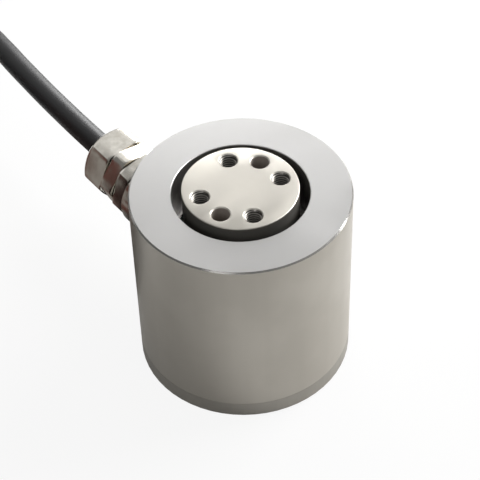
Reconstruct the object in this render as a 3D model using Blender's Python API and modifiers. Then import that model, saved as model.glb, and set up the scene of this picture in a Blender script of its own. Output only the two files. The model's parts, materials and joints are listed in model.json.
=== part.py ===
# Multi-axis force sensor with a cross-beam element, a cable gland and its cable.
# Metres, +Z up. The origin is the centre of the underside, and X and Y run through
# the platform's threaded holes.

from math import atan2, cos, hypot, pi, radians, sin, sqrt, tan

import bmesh
import bpy
from mathutils import Vector

# Clearances
CLEARANCE = 0.0003
GLUE_LINE = 0.0001
SEALING_LINE = 0.0002
CORNER_PLAY = 0.0002

# How far a cutter runs past the faces that it opens
CUT_OVERRUN = 0.0010
SEAM_MERGE = 0.00001

# Loading platform and the top ring round it
PLATFORM_DIAMETER = 0.0315
PLATFORM_THICKNESS = 0.0140
PLATFORM_RISE = 0.0015
MOUTH_GAP = 0.00285
TOP_RING_WIDTH = 0.0114
EDGE_CHAMFER = 0.0004
HOLE_CIRCLE_RADIUS = 0.0112
THREAD_COUNT = 4
THREAD_DIAMETER = 0.0050
THREAD_DEPTH = 0.0100
DOWEL_DIAMETER = 0.0050
DOWEL_DEPTH = 0.0080
MOUTH_CHAMFER = 0.0003
DRILL_POINT_ANGLE = radians(59)

# Housing
WALL = 0.0065
CHAMBER_HEIGHT = 0.0262
SCREW_CIRCLE_INSET = 0.00325
SCREW_COUNT = 6
SCREW_START_ANGLE = radians(30)

# Cross-beam element
RIM_WIDTH = 0.0056
RIM_HEIGHT = 0.0080
HUB_RADIUS = 0.0095
BEAM_WIDTH = 0.0060
BEAM_RELIEF = 0.0012
RELIEF_SHOULDER = 0.0004
BEAM_COUNT = 4
POCKET_FILLET = 0.0015
LEAF_THICKNESS = 0.0012
LEAF_SLOT_WIDTH = 0.0014
LEAF_SLOT_LENGTH = 0.0140
UNDER_GAP = 0.0018

# Fastening of the platform on the hub
BOLT_DIAMETER = 0.0060
BOLT_HEAD_DIAMETER = 0.0100
BOLT_HEAD_HEIGHT = 0.0060
BOLT_SOCKET_WIDTH = 0.0050
BOLT_SOCKET_DEPTH = 0.0030
BOLT_GRIP = 0.0070
PIN_DIAMETER = 0.0030
PIN_LENGTH = 0.0100
PIN_GRIP = 0.0045
PIN_CIRCLE_RADIUS = 0.0063
PIN_ANGLES = (radians(45), radians(225))

# Retaining ring
RETAINER_HEIGHT = 0.0035
SPANNER_SLOT_WIDTH = 0.0025
SPANNER_SLOT_DEPTH = 0.0012

# Strain gauges and their wires
GAUGE_LENGTH = 0.0044
GAUGE_WIDTH = 0.0030
GAUGE_THICKNESS = 0.00025
LEAD_DIAMETER = 0.0010
LEAD_BULGE = 0.0010
LEAD_STEPS = 4

# Base plate and its sealing ring
BASE_THICKNESS = 0.0050
SPIGOT_HEIGHT = 0.0030
GROOVE_HEIGHT = 0.0016
GROOVE_DEPTH = 0.0013
GROOVE_RISE = 0.0008
SEAL_GAP = 0.00015
BASE_HOLE_RADIUS = 0.0180
BASE_HOLE_DEPTH = 0.0055
BASE_DOWEL_DEPTH = 0.0050
BASE_DOWEL_ANGLES = (radians(45), radians(225))

# Countersunk screws of the base plate
SCREW_DIAMETER = 0.0025
SCREW_HEAD_DIAMETER = 0.0047
SCREW_LENGTH = 0.0130
SCREW_RECESS = 0.0003
SCREW_HEAD_EDGE = 0.0002
SCREW_SOCKET_WIDTH = 0.0015
SCREW_SOCKET_DEPTH = 0.0009

# Terminal board
BOARD_RADIUS = 0.0180
BOARD_THICKNESS = 0.0016
BOARD_RISE = 0.0056
BOSS_RADIUS = 0.0030
BOSS_CIRCLE_RADIUS = 0.0140
BOSS_ANGLES = (radians(31), radians(151), radians(271))
BOARD_SCREW_DIAMETER = 0.0020
BOARD_SCREW_HEAD_DIAMETER = 0.0040
BOARD_SCREW_HEAD_HEIGHT = 0.0014
BOARD_SCREW_LENGTH = 0.0060

# Cable gland: distances run outward from the housing's outer wall
GLAND_ANGLE = radians(110.5)
ADAPTER_CORNER_ANGLE = radians(19.5)
BODY_CORNER_ANGLE = radians(37.5)
NUT_CORNER_ANGLE = radians(22.5)
GLAND_DROP = 0.0070
GLAND_FLATS = 0.0190
HEX_CHAMFER = 0.0004
SHANK_DIAMETER = 0.0212
SHANK_LENGTH = 0.0153
ADAPTER_HEX_LENGTH = 0.0047
ADAPTER_NECK_LENGTH = 0.0004
ADAPTER_NECK_DEPTH = 0.0014
WALL_THREAD_DIAMETER = 0.0120
SEAT_DEPTH = 0.0003
ADAPTER_SEAL_THICKNESS = 0.0010
BODY_THREAD_DIAMETER = 0.0160
BODY_THREAD_LENGTH = 0.0110
BODY_HEX_LENGTH = 0.0054
BODY_MOUTH_DROP = 0.0017
NUT_LENGTH = 0.0119
NUT_DOME_LENGTH = 0.0046
NUT_DOME_TUCK = 0.0020
NUT_DOME_FULLNESS = 0.63
NUT_MOUTH_RIM_RADIUS = 0.0056
NUT_MOUTH_RADIUS = 0.0045
NUT_MOUTH_FLARE = 0.0005
NUT_SKIRT_DEPTH = 0.0082
CLAMP_LENGTH = 0.0017
CLAMP_TAPER = 0.0014
CLAMP_LAND = 0.0004
GROMMET_LENGTH = 0.0062
GROMMET_WALL = 0.00225
GROMMET_TAPER = 0.00075
GROMMET_PROUD = 0.0010
CABLE_BORE_PLAY = 0.00085

# Cable
CABLE_DIAMETER = 0.0075
CORE_DIAMETER = 0.0045
INNER_CABLE_REACH = 0.0090
CABLE_START = 0.0100
CORE_BEND = ((0.0, 0.0), (0.0027, 0.02), (0.0053, 0.19), (0.0068, 0.46), (0.0073, 0.79), (0.0073, 1.0))
CABLE_ROUTE = (
    (-0.0140, 0.0375, 0.0244),
    (-0.0193, 0.0515, 0.0244),
    (-0.0245, 0.0656, 0.0244),
    (-0.0280, 0.0749, 0.0244),
    (-0.0314, 0.0843, 0.0244),
    (-0.0347, 0.0938, 0.0244),
    (-0.0378, 0.1033, 0.0244),
    (-0.0408, 0.1128, 0.0244),
    (-0.0437, 0.1224, 0.0244),
    (-0.0469, 0.1319, 0.0239),
    (-0.0518, 0.1405, 0.0220),
    (-0.0588, 0.1476, 0.0185),
    (-0.0675, 0.1526, 0.0136),
    (-0.0771, 0.1552, 0.0089),
    (-0.0871, 0.1553, 0.0057),
    (-0.0970, 0.1540, 0.0041),
    (-0.1068, 0.1524, 0.0040),
)
CABLE_POINT_SPACING = 0.0150

# Stored turns of the cable
COIL_CENTRE = (-0.1100, 0.1045)
COIL_OUTER_TURN = 0.0475
COIL_INNER_TURN = 0.0305
COIL_ROWS = 3
COIL_START_ANGLE = radians(100)
COIL_PITCH = 0.0076
TIE_THICKNESS = 0.0012
TIE_PLAY = 0.0005
TIE_WIDTH = 0.0040
TIE_ANGLES = (radians(150), radians(292))
TIE_HEAD = (0.0056, 0.0062, 0.0034)

# Free end of the cable
TAIL_START_ANGLE = radians(284)
TAIL_STEP = radians(12)
TAIL_STEPS = 2
TAIL_STRAIGHT = 0.0030
TAIL_POINT_SPACING = 0.0060
SHRINK_ANGLE = radians(345)
SHRINK_RADIUS = 0.0345
SHRINK_LENGTH = 0.0220
SHRINK_SLEEVE = 0.0100
SHRINK_WALL = 0.00055
SHRINK_SLOPE = 0.0020
CORE_RING_RADIUS = 0.0022
CORE_RING_TURN = radians(11)
CORE_COUNT = 8
CORE_WIRE_DIAMETER = 0.0013
DRAIN_WIRE_DIAMETER = 0.0012
WIRE_SPACING = 0.0017
WIRE_REACH = 0.0450
WIRE_FAN = ((0.0, 0.0), (0.0070, 0.35), (0.0150, 0.80), (0.0230, 1.0), (WIRE_REACH, 1.0))
WIRE_OUTWARD = 0.0035
WIRE_GRIP = 0.0040

# Sides of round pieces and steps of rounded outlines
BODY_SIDES = 60
GLAND_SIDES = 32
INNER_SIDES = 32
HOLE_SIDES = 20
SMALL_SIDES = 14
SCREW_SIDES = 10
SEAL_SECTION_SIDES = 5
CORNER_STEPS = 3
CURVE_STEPS = 20
SHARP_ANGLE = radians(35)

# Radii and heights that follow from the dimensions above
platform_radius = PLATFORM_DIAMETER / 2
mouth_radius = platform_radius + MOUTH_GAP
body_radius = mouth_radius + TOP_RING_WIDTH
cavity_radius = body_radius - WALL
housing_bottom = BASE_THICKNESS + SEALING_LINE
retainer_bottom = housing_bottom + CHAMBER_HEIGHT
rim_bottom = retainer_bottom + RETAINER_HEIGHT + CLEARANCE
rim_top = rim_bottom + RIM_HEIGHT
seat_height = rim_top + CLEARANCE
disc_bottom = rim_top + UNDER_GAP
platform_top = disc_bottom + PLATFORM_THICKNESS
housing_top = platform_top - PLATFORM_RISE
rim_outer = cavity_radius - CLEARANCE
rim_inner = rim_outer - RIM_WIDTH
beam_top = rim_top - BEAM_RELIEF
beam_bottom = rim_bottom + BEAM_RELIEF
spigot_top = BASE_THICKNESS + SPIGOT_HEIGHT
screw_circle = body_radius - SCREW_CIRCLE_INSET
boss_top = spigot_top + BOARD_RISE
board_bottom = boss_top + CLEARANCE
board_top = board_bottom + BOARD_THICKNESS
gland_height = retainer_bottom - GLAND_DROP
cable_radius = CABLE_DIAMETER / 2
cable_bore = cable_radius + CABLE_BORE_PLAY


# Collections and the empties that carry the pieces
for old in list(bpy.data.objects):
    bpy.data.objects.remove(old, do_unlink=True)

parts = bpy.data.collections.new("multi_axis_force_sensor")
cutters = bpy.data.collections.new("cutters")
bpy.context.scene.collection.children.link(parts)
bpy.context.scene.collection.children.link(cutters)


def place(obj, finish, carrier=None, at=(0.0, 0.0, 0.0), turn=(0.0, 0.0, 0.0)):
    # A piece with a finish is a part, and one without is a cutter.
    if finish is None:
        cutters.objects.link(obj)
        obj.hide_render = True
        obj.display_type = "WIRE"
    else:
        parts.objects.link(obj)
        obj.data.materials.append(finish)
    obj.parent = carrier
    obj.location = at
    obj.rotation_euler = turn
    return obj


def empty(name, at=(0.0, 0.0, 0.0), turn=(0.0, 0.0, 0.0), carrier=None):
    obj = bpy.data.objects.new(name, None)
    parts.objects.link(obj)
    obj.empty_display_size = 0.01
    obj.parent = carrier
    obj.location = at
    obj.rotation_euler = turn
    return obj


def finish(name, colour, roughness, metallic):
    made = bpy.data.materials.new(name)
    made.use_nodes = True
    shader = made.node_tree.nodes["Principled BSDF"]
    shader.inputs["Base Color"].default_value = (*colour, 1.0)
    shader.inputs["Roughness"].default_value = roughness
    shader.inputs["Metallic"].default_value = metallic
    made.diffuse_color = (*colour, 1.0)
    return made


# Shapes
def turned(name, profile, sides, surface=None, **placing):
    # A profile of (radius, height) that runs down its outer side. It is closed
    # into a ring unless it starts on the axis.
    mesh = bpy.data.meshes.new(name)
    points = [(radius, 0.0, height) for radius, height in profile]
    edges = [(i, i + 1) for i in range(len(points) - 1)]
    if profile[0][0] > 0.0:
        edges.append((len(points) - 1, 0))
    mesh.from_pydata(points, edges, [])
    obj = place(bpy.data.objects.new(name, mesh), surface, **placing)
    screw = obj.modifiers.new("turn", "SCREW")
    screw.axis = "Z"
    screw.steps = sides
    screw.render_steps = sides
    screw.use_merge_vertices = True
    screw.merge_threshold = SEAM_MERGE
    screw.use_smooth_shade = True
    return obj


def prism(name, corners, flats, low, high, surface=None, spin=0.0, **placing):
    # A regular prism measured across its flats, with a corner at the angle spin.
    radius = flats / 2 / cos(pi / corners)
    shape = bmesh.new()
    bmesh.ops.create_cone(
        shape, cap_ends=True, segments=corners, radius1=radius, radius2=radius, depth=high - low
    )
    first = shape.verts[:][0].co
    turn_by = spin - atan2(first.y, first.x)
    for vert in shape.verts:
        x, y, z = vert.co
        vert.co.x = x * cos(turn_by) - y * sin(turn_by)
        vert.co.y = x * sin(turn_by) + y * cos(turn_by)
        vert.co.z = z + (high + low) / 2
    mesh = bpy.data.meshes.new(name)
    shape.to_mesh(mesh)
    shape.free()
    return place(bpy.data.objects.new(name, mesh), surface, **placing)


def box(name, size, surface=None, **placing):
    shape = bmesh.new()
    bmesh.ops.create_cube(shape, size=1.0)
    for vert in shape.verts:
        vert.co = Vector([part * length for part, length in zip(vert.co, size)])
    mesh = bpy.data.meshes.new(name)
    shape.to_mesh(mesh)
    shape.free()
    return place(bpy.data.objects.new(name, mesh), surface, **placing)


def slab(name, outlines, low, high, surface=None, **placing):
    # Flat outlines extruded from low to high, as a mesh that can be cut or cut with.
    curve = bpy.data.curves.new(name, "CURVE")
    curve.dimensions = "2D"
    curve.fill_mode = "BOTH"
    curve.extrude = (high - low) / 2
    for outline in outlines:
        spline = curve.splines.new("POLY")
        spline.points.add(len(outline) - 1)
        for point, (x, y) in zip(spline.points, outline):
            point.co = (x, y, 0.0, 1.0)
        spline.use_cyclic_u = True
    drawn = bpy.data.objects.new(name + "_outline", curve)
    cutters.objects.link(drawn)
    bpy.context.view_layer.update()
    graph = bpy.context.evaluated_depsgraph_get()
    mesh = bpy.data.meshes.new_from_object(drawn.evaluated_get(graph))
    bpy.data.objects.remove(drawn, do_unlink=True)
    shape = bmesh.new()
    shape.from_mesh(mesh)
    bmesh.ops.remove_doubles(shape, verts=shape.verts, dist=0.000001)
    bmesh.ops.translate(shape, verts=shape.verts, vec=(0.0, 0.0, (high + low) / 2))
    bmesh.ops.recalc_face_normals(shape, faces=shape.faces)
    shape.to_mesh(mesh)
    shape.free()
    mesh.name = name
    return place(bpy.data.objects.new(name, mesh), surface, **placing)


def tube(name, path, diameter, surface, resolution=2):
    curve = bpy.data.curves.new(name, "CURVE")
    curve.dimensions = "3D"
    curve.bevel_depth = diameter / 2
    curve.bevel_resolution = resolution
    curve.use_fill_caps = True
    spline = curve.splines.new("POLY")
    spline.points.add(len(path) - 1)
    for point, place_of in zip(spline.points, path):
        point.co = (*place_of, 1.0)
    return place(bpy.data.objects.new(name, curve), surface)


def change(obj, other, operation):
    modifier = obj.modifiers.new(other.name, "BOOLEAN")
    modifier.operation = operation
    modifier.object = other
    modifier.solver = "EXACT"


def cut(obj, other):
    change(obj, other, "DIFFERENCE")


def join(obj, other):
    change(obj, other, "UNION")


def drilled(name, radius, depth, chamfer, sides, **placing):
    # A blind hole that opens upward at its own origin, with the drill's pointed end.
    point = radius / tan(DRILL_POINT_ANGLE)
    wide = radius + chamfer
    mouth = [(wide, CUT_OVERRUN), (wide, 0.0), (radius, -chamfer)]
    if chamfer == 0.0:
        mouth = [(radius, CUT_OVERRUN)]
    profile = ((0.0, CUT_OVERRUN), *mouth, (radius, -depth), (0.0, -depth - point))
    return turned(name, profile, sides, **placing)


def arc(centre, radius, start, end, steps):
    found = []
    for i in range(steps + 1):
        angle = start + (end - start) * i / steps
        found.append((centre[0] + radius * cos(angle), centre[1] + radius * sin(angle)))
    return found


def rounded(centres, radius, steps):
    # The outline round equal circles, given anticlockwise, as arcs joined by straights.
    found = []
    for i, centre in enumerate(centres):
        before = centres[i - 1]
        after = centres[(i + 1) % len(centres)]
        start = atan2(centre[1] - before[1], centre[0] - before[0]) - pi / 2
        end = atan2(after[1] - centre[1], after[0] - centre[0]) - pi / 2
        end += 2 * pi * (end < start - 0.000001)
        found += arc(centre, radius, start, end, steps)
    return found


def shade_parts():
    # Each part keeps its final mesh: round faces smooth, and edges crisp at sharp angles.
    bpy.context.view_layer.update()
    graph = bpy.context.evaluated_depsgraph_get()
    meshes = [obj for obj in parts.objects if obj.type == "MESH"]
    shaded = [bpy.data.meshes.new_from_object(obj.evaluated_get(graph)) for obj in meshes]
    for obj, mesh in zip(meshes, shaded):
        obj.modifiers.clear()
        obj.data = mesh
        mesh.shade_smooth()
        mesh.set_sharp_from_angle(angle=SHARP_ANGLE)


def on_circle(radius, angle, height=0.0):
    return (radius * cos(angle), radius * sin(angle), height)


def smooth_path(route, spacing):
    # Points at equal spacing along one smooth curve through the route's points.
    route = [Vector(point) for point in route]
    ends = [2 * route[0] - route[1], *route, 2 * route[-1] - route[-2]]
    dense = []
    for before, start, end, after in zip(ends, ends[1:], ends[2:], ends[3:]):
        lead, span, trail = (start - before).length, (end - start).length, (after - end).length
        leaving = (start - before) / lead - (end - before) / (lead + span) + (end - start) / span
        arriving = (end - start) / span - (after - start) / (span + trail) + (after - end) / trail
        for i in range(CURVE_STEPS):
            t = i / CURVE_STEPS
            dense.append(
                start * (1 + 2 * t) * (1 - t) ** 2
                + leaving * span * t * (1 - t) ** 2
                + end * t * t * (3 - 2 * t)
                + arriving * span * t * t * (t - 1)
            )
    dense.append(route[-1])
    total = sum((b - a).length for a, b in zip(dense, dense[1:]))
    count = max(1, round(total / spacing))
    found = [dense[0]]
    passed = 0.0
    for a, b in zip(dense, dense[1:]):
        passed += (b - a).length
        while len(found) < count and passed >= total * len(found) / count:
            found.append(b)
    return [*found, dense[-1]]


# Finishes
housing_metal = finish("bead_blasted_aluminium", (0.50, 0.47, 0.43), 0.42, 0.85)
platform_metal = finish("turned_aluminium", (0.74, 0.71, 0.66), 0.32, 0.85)
base_metal = finish("base_aluminium", (0.46, 0.44, 0.41), 0.42, 0.85)
element_metal = finish("element_alloy", (0.62, 0.61, 0.60), 0.30, 0.90)
nickel = finish("nickel_plate", (0.72, 0.68, 0.62), 0.18, 1.0)
screw_steel = finish("screw_steel", (0.32, 0.32, 0.33), 0.35, 1.0)
rubber = finish("black_rubber", (0.02, 0.02, 0.02), 0.60, 0.0)
jacket = finish("cable_jacket", (0.03, 0.03, 0.032), 0.42, 0.0)
gauge_film = finish("gauge_film", (0.55, 0.33, 0.12), 0.40, 0.0)
board_green = finish("terminal_board", (0.05, 0.20, 0.09), 0.45, 0.0)
tie_plastic = finish("tie_plastic", (0.04, 0.04, 0.04), 0.50, 0.0)
tinned = finish("tinned_copper", (0.62, 0.60, 0.56), 0.35, 1.0)
core_colours = {
    "white": (0.80, 0.80, 0.78),
    "brown": (0.20, 0.09, 0.04),
    "green": (0.05, 0.30, 0.10),
    "yellow": (0.80, 0.62, 0.05),
    "grey": (0.30, 0.30, 0.31),
    "pink": (0.75, 0.35, 0.42),
    "blue": (0.03, 0.12, 0.45),
    "red": (0.55, 0.03, 0.03),
}

sensor = empty("sensor")


# Housing
def make_housing():
    profile = (
        (mouth_radius + EDGE_CHAMFER, housing_top),
        (body_radius - EDGE_CHAMFER, housing_top),
        (body_radius, housing_top - EDGE_CHAMFER),
        (body_radius, housing_bottom),
        (cavity_radius, housing_bottom),
        (cavity_radius, seat_height),
        (mouth_radius, seat_height),
        (mouth_radius, housing_top - EDGE_CHAMFER),
    )
    housing = turned("housing", profile, BODY_SIDES, housing_metal, carrier=sensor)
    seat_radius = SHANK_DIAMETER / 2 + CLEARANCE
    spot_face = turned(
        "gland_seat",
        (
            (0.0, body_radius),
            (seat_radius, body_radius),
            (seat_radius, seat_plane),
            (0.0, seat_plane),
        ),
        GLAND_SIDES,
        carrier=gland_axis,
    )
    cut(housing, spot_face)
    hole_radius = WALL_THREAD_DIAMETER / 2 + CLEARANCE
    hole = turned(
        "gland_hole",
        ((0.0, 0.0), (hole_radius, 0.0), (hole_radius, -2 * WALL), (0.0, -2 * WALL)),
        GLAND_SIDES,
        carrier=gland_axis,
    )
    cut(housing, hole)
    depth = SCREW_RECESS + SCREW_LENGTH - housing_bottom + CLEARANCE
    for i in range(SCREW_COUNT):
        angle = SCREW_START_ANGLE + 2 * pi * i / SCREW_COUNT
        tapped = drilled(
            f"housing_thread_{i + 1}",
            SCREW_DIAMETER / 2 + CLEARANCE,
            depth,
            0.0,
            SCREW_SIDES,
            carrier=sensor,
            at=on_circle(screw_circle, angle, housing_bottom),
            turn=(pi, 0.0, 0.0),
        )
        cut(housing, tapped)


# Loading platform with its threaded and dowel holes
def make_platform():
    neck_bottom = rim_top + CLEARANCE
    profile = (
        (0.0, platform_top),
        (platform_radius - EDGE_CHAMFER, platform_top),
        (platform_radius, platform_top - EDGE_CHAMFER),
        (platform_radius, disc_bottom + EDGE_CHAMFER),
        (platform_radius - EDGE_CHAMFER, disc_bottom),
        (HUB_RADIUS, disc_bottom),
        (HUB_RADIUS, neck_bottom),
        (0.0, neck_bottom),
    )
    platform = turned("load_platform", profile, BODY_SIDES, platform_metal, carrier=sensor)
    for i in range(THREAD_COUNT):
        threaded = drilled(
            f"platform_thread_{i + 1}",
            THREAD_DIAMETER / 2,
            THREAD_DEPTH,
            MOUTH_CHAMFER,
            HOLE_SIDES,
            carrier=sensor,
            at=on_circle(HOLE_CIRCLE_RADIUS, 2 * pi * i / THREAD_COUNT, platform_top),
        )
        cut(platform, threaded)
    for i, angle in enumerate(PIN_ANGLES):
        dowel = drilled(
            f"platform_dowel_{i + 1}",
            DOWEL_DIAMETER / 2,
            DOWEL_DEPTH,
            MOUTH_CHAMFER,
            HOLE_SIDES,
            carrier=sensor,
            at=on_circle(HOLE_CIRCLE_RADIUS, angle, platform_top),
        )
        cut(platform, dowel)
        pin_hole = drilled(
            f"platform_pin_hole_{i + 1}",
            PIN_DIAMETER / 2 + CLEARANCE,
            PIN_GRIP + CLEARANCE,
            0.0,
            SCREW_SIDES,
            carrier=sensor,
            at=on_circle(PIN_CIRCLE_RADIUS, angle, neck_bottom),
            turn=(pi, 0.0, 0.0),
        )
        cut(platform, pin_hole)
    bolt_hole = drilled(
        "platform_bolt_hole",
        BOLT_DIAMETER / 2 + CLEARANCE,
        disc_bottom - neck_bottom + BOLT_GRIP + CLEARANCE,
        0.0,
        SMALL_SIDES,
        carrier=sensor,
        at=(0.0, 0.0, neck_bottom),
        turn=(pi, 0.0, 0.0),
    )
    cut(platform, bolt_hole)


# One-piece cross-beam element: hub, beams, leaves and rim
def pocket_outline():
    # The space between two beams, with a fillet in each of its four corners.
    side = BEAM_WIDTH / 2 + POCKET_FILLET
    near = sqrt((HUB_RADIUS + POCKET_FILLET) ** 2 - side**2)
    far = sqrt((rim_inner - POCKET_FILLET) ** 2 - side**2)
    near_angle = atan2(side, near)
    far_angle = atan2(side, far)
    rim_steps = 8
    hub_steps = 5
    found = arc((near, side), POCKET_FILLET, near_angle + pi, 3 * pi / 2, CORNER_STEPS)
    found += arc((far, side), POCKET_FILLET, -pi / 2, far_angle, CORNER_STEPS)
    found += arc((0.0, 0.0), rim_inner, far_angle, pi / 2 - far_angle, rim_steps)[1:-1]
    found += arc((side, far), POCKET_FILLET, pi / 2 - far_angle, pi, CORNER_STEPS)
    found += arc((side, near), POCKET_FILLET, pi, 3 * pi / 2 - near_angle, CORNER_STEPS)
    found += arc((0.0, 0.0), HUB_RADIUS, pi / 2 - near_angle, near_angle, hub_steps)[1:-1]
    return found


def make_flexure():
    relief_inner = HUB_RADIUS + RELIEF_SHOULDER
    relief_outer = rim_inner - RELIEF_SHOULDER
    profile = (
        (0.0, rim_top),
        (relief_inner, rim_top),
        (relief_inner, beam_top),
        (relief_outer, beam_top),
        (relief_outer, rim_top),
        (rim_outer, rim_top),
        (rim_outer, rim_bottom),
        (relief_outer, rim_bottom),
        (relief_outer, beam_bottom),
        (relief_inner, beam_bottom),
        (relief_inner, rim_bottom),
        (0.0, rim_bottom),
    )
    flexure = turned("flexure", profile, INNER_SIDES, element_metal, carrier=sensor)
    low = rim_bottom - CUT_OVERRUN
    high = rim_top + CUT_OVERRUN
    slot_end = LEAF_SLOT_LENGTH / 2 - LEAF_SLOT_WIDTH / 2
    slot_radius = rim_inner + LEAF_THICKNESS + LEAF_SLOT_WIDTH / 2
    slot_ends = ((slot_radius, -slot_end), (slot_radius, slot_end))
    for i in range(BEAM_COUNT):
        turn = (0.0, 0.0, 2 * pi * i / BEAM_COUNT)
        pocket = slab(
            f"pocket_{i + 1}", [pocket_outline()], low, high, carrier=sensor, turn=turn
        )
        cut(flexure, pocket)
        slot = slab(
            f"leaf_slot_{i + 1}",
            [rounded(slot_ends, LEAF_SLOT_WIDTH / 2, CORNER_STEPS)],
            low,
            high,
            carrier=sensor,
            turn=turn,
        )
        cut(flexure, slot)
    bore = BOLT_DIAMETER / 2 + CLEARANCE
    bolt_hole = turned(
        "hub_bolt_hole",
        ((0.0, high), (bore, high), (bore, low), (0.0, low)),
        SMALL_SIDES,
        carrier=sensor,
    )
    cut(flexure, bolt_hole)
    for i, angle in enumerate(PIN_ANGLES):
        pin_hole = drilled(
            f"hub_pin_hole_{i + 1}",
            PIN_DIAMETER / 2 + CLEARANCE,
            PIN_LENGTH - PIN_GRIP,
            0.0,
            SCREW_SIDES,
            carrier=sensor,
            at=on_circle(PIN_CIRCLE_RADIUS, angle, rim_top),
        )
        cut(flexure, pin_hole)


# Bolt and pins that hold the platform on the hub
def make_platform_fasteners():
    under_hub = rim_bottom - CLEARANCE
    head_bottom = under_hub - BOLT_HEAD_HEIGHT
    shank_top = disc_bottom + BOLT_GRIP
    head_radius = BOLT_HEAD_DIAMETER / 2
    shank_radius = BOLT_DIAMETER / 2
    profile = (
        (0.0, shank_top),
        (shank_radius - EDGE_CHAMFER, shank_top),
        (shank_radius, shank_top - EDGE_CHAMFER),
        (shank_radius, under_hub),
        (head_radius, under_hub),
        (head_radius, head_bottom + EDGE_CHAMFER),
        (head_radius - EDGE_CHAMFER, head_bottom),
        (0.0, head_bottom),
    )
    bolt = turned("platform_bolt", profile, SMALL_SIDES, screw_steel, carrier=sensor)
    socket = prism(
        "platform_bolt_socket",
        6,
        BOLT_SOCKET_WIDTH,
        head_bottom - CUT_OVERRUN,
        head_bottom + BOLT_SOCKET_DEPTH,
        carrier=sensor,
    )
    cut(bolt, socket)
    pin_radius = PIN_DIAMETER / 2
    pin_top = rim_top + CLEARANCE + PIN_GRIP
    for i, angle in enumerate(PIN_ANGLES):
        profile = (
            (0.0, PIN_LENGTH),
            (pin_radius - EDGE_CHAMFER, PIN_LENGTH),
            (pin_radius, PIN_LENGTH - EDGE_CHAMFER),
            (pin_radius, EDGE_CHAMFER),
            (pin_radius - EDGE_CHAMFER, 0.0),
            (0.0, 0.0),
        )
        turned(
            f"platform_pin_{i + 1}",
            profile,
            SCREW_SIDES,
            screw_steel,
            carrier=sensor,
            at=on_circle(PIN_CIRCLE_RADIUS, angle, pin_top - PIN_LENGTH),
        )


# Ring that clamps the rim against the housing's shoulder
def make_retaining_ring():
    top = retainer_bottom + RETAINER_HEIGHT
    profile = (
        (rim_inner, top),
        (rim_outer, top),
        (rim_outer, retainer_bottom),
        (rim_inner, retainer_bottom),
    )
    ring = turned("retaining_ring", profile, INNER_SIDES, element_metal, carrier=sensor)
    size = (2 * cavity_radius + CUT_OVERRUN, SPANNER_SLOT_WIDTH, 2 * SPANNER_SLOT_DEPTH)
    slot = box("spanner_slots", size, carrier=sensor, at=(0.0, 0.0, retainer_bottom))
    cut(ring, slot)


# Strain gauges on the beams and the wires from them
def make_gauges():
    side = BEAM_WIDTH / 2 + POCKET_FILLET
    near = sqrt((HUB_RADIUS + POCKET_FILLET) ** 2 - side**2)
    far = sqrt((rim_inner - POCKET_FILLET) ** 2 - side**2)
    middle = (near + far) / 2
    offset = BEAM_WIDTH / 2 + GLUE_LINE + GAUGE_THICKNESS / 2
    on_top = (GAUGE_LENGTH, GAUGE_WIDTH, GAUGE_THICKNESS)
    on_side = (GAUGE_LENGTH, GAUGE_THICKNESS, GAUGE_WIDTH)
    beam_middle = (beam_top + beam_bottom) / 2
    above = beam_top + GLUE_LINE + GAUGE_THICKNESS / 2
    spots = (
        (on_top, 0.0, above),
        (on_side, offset, beam_middle),
        (on_side, -offset, beam_middle),
    )
    count = 0
    for i in range(BEAM_COUNT):
        turn = 2 * pi * i / BEAM_COUNT
        for size, across, height in spots:
            count += 1
            x = middle * cos(turn) - across * sin(turn)
            y = middle * sin(turn) + across * cos(turn)
            box(
                f"strain_gauge_{count}",
                size,
                gauge_film,
                carrier=sensor,
                at=(x, y, height),
                turn=(0.0, 0.0, turn),
            )
    lead_radius = LEAD_DIAMETER / 2
    across = -(BEAM_WIDTH / 2 + CLEARANCE + lead_radius)
    lead_top = beam_middle - GAUGE_WIDTH / 2 - CLEARANCE
    lead_end = board_top + CLEARANCE
    for i in range(BEAM_COUNT):
        turn = 2 * pi * i / BEAM_COUNT
        path = []
        for step in range(LEAD_STEPS + 1):
            share = step / LEAD_STEPS
            outward = middle + LEAD_BULGE * sin(pi * share)
            x = outward * cos(turn) - across * sin(turn)
            y = outward * sin(turn) + across * cos(turn)
            path.append((x, y, lead_top + (lead_end - lead_top) * share))
        tube(f"gauge_lead_{i + 1}", path, LEAD_DIAMETER, jacket)


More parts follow.
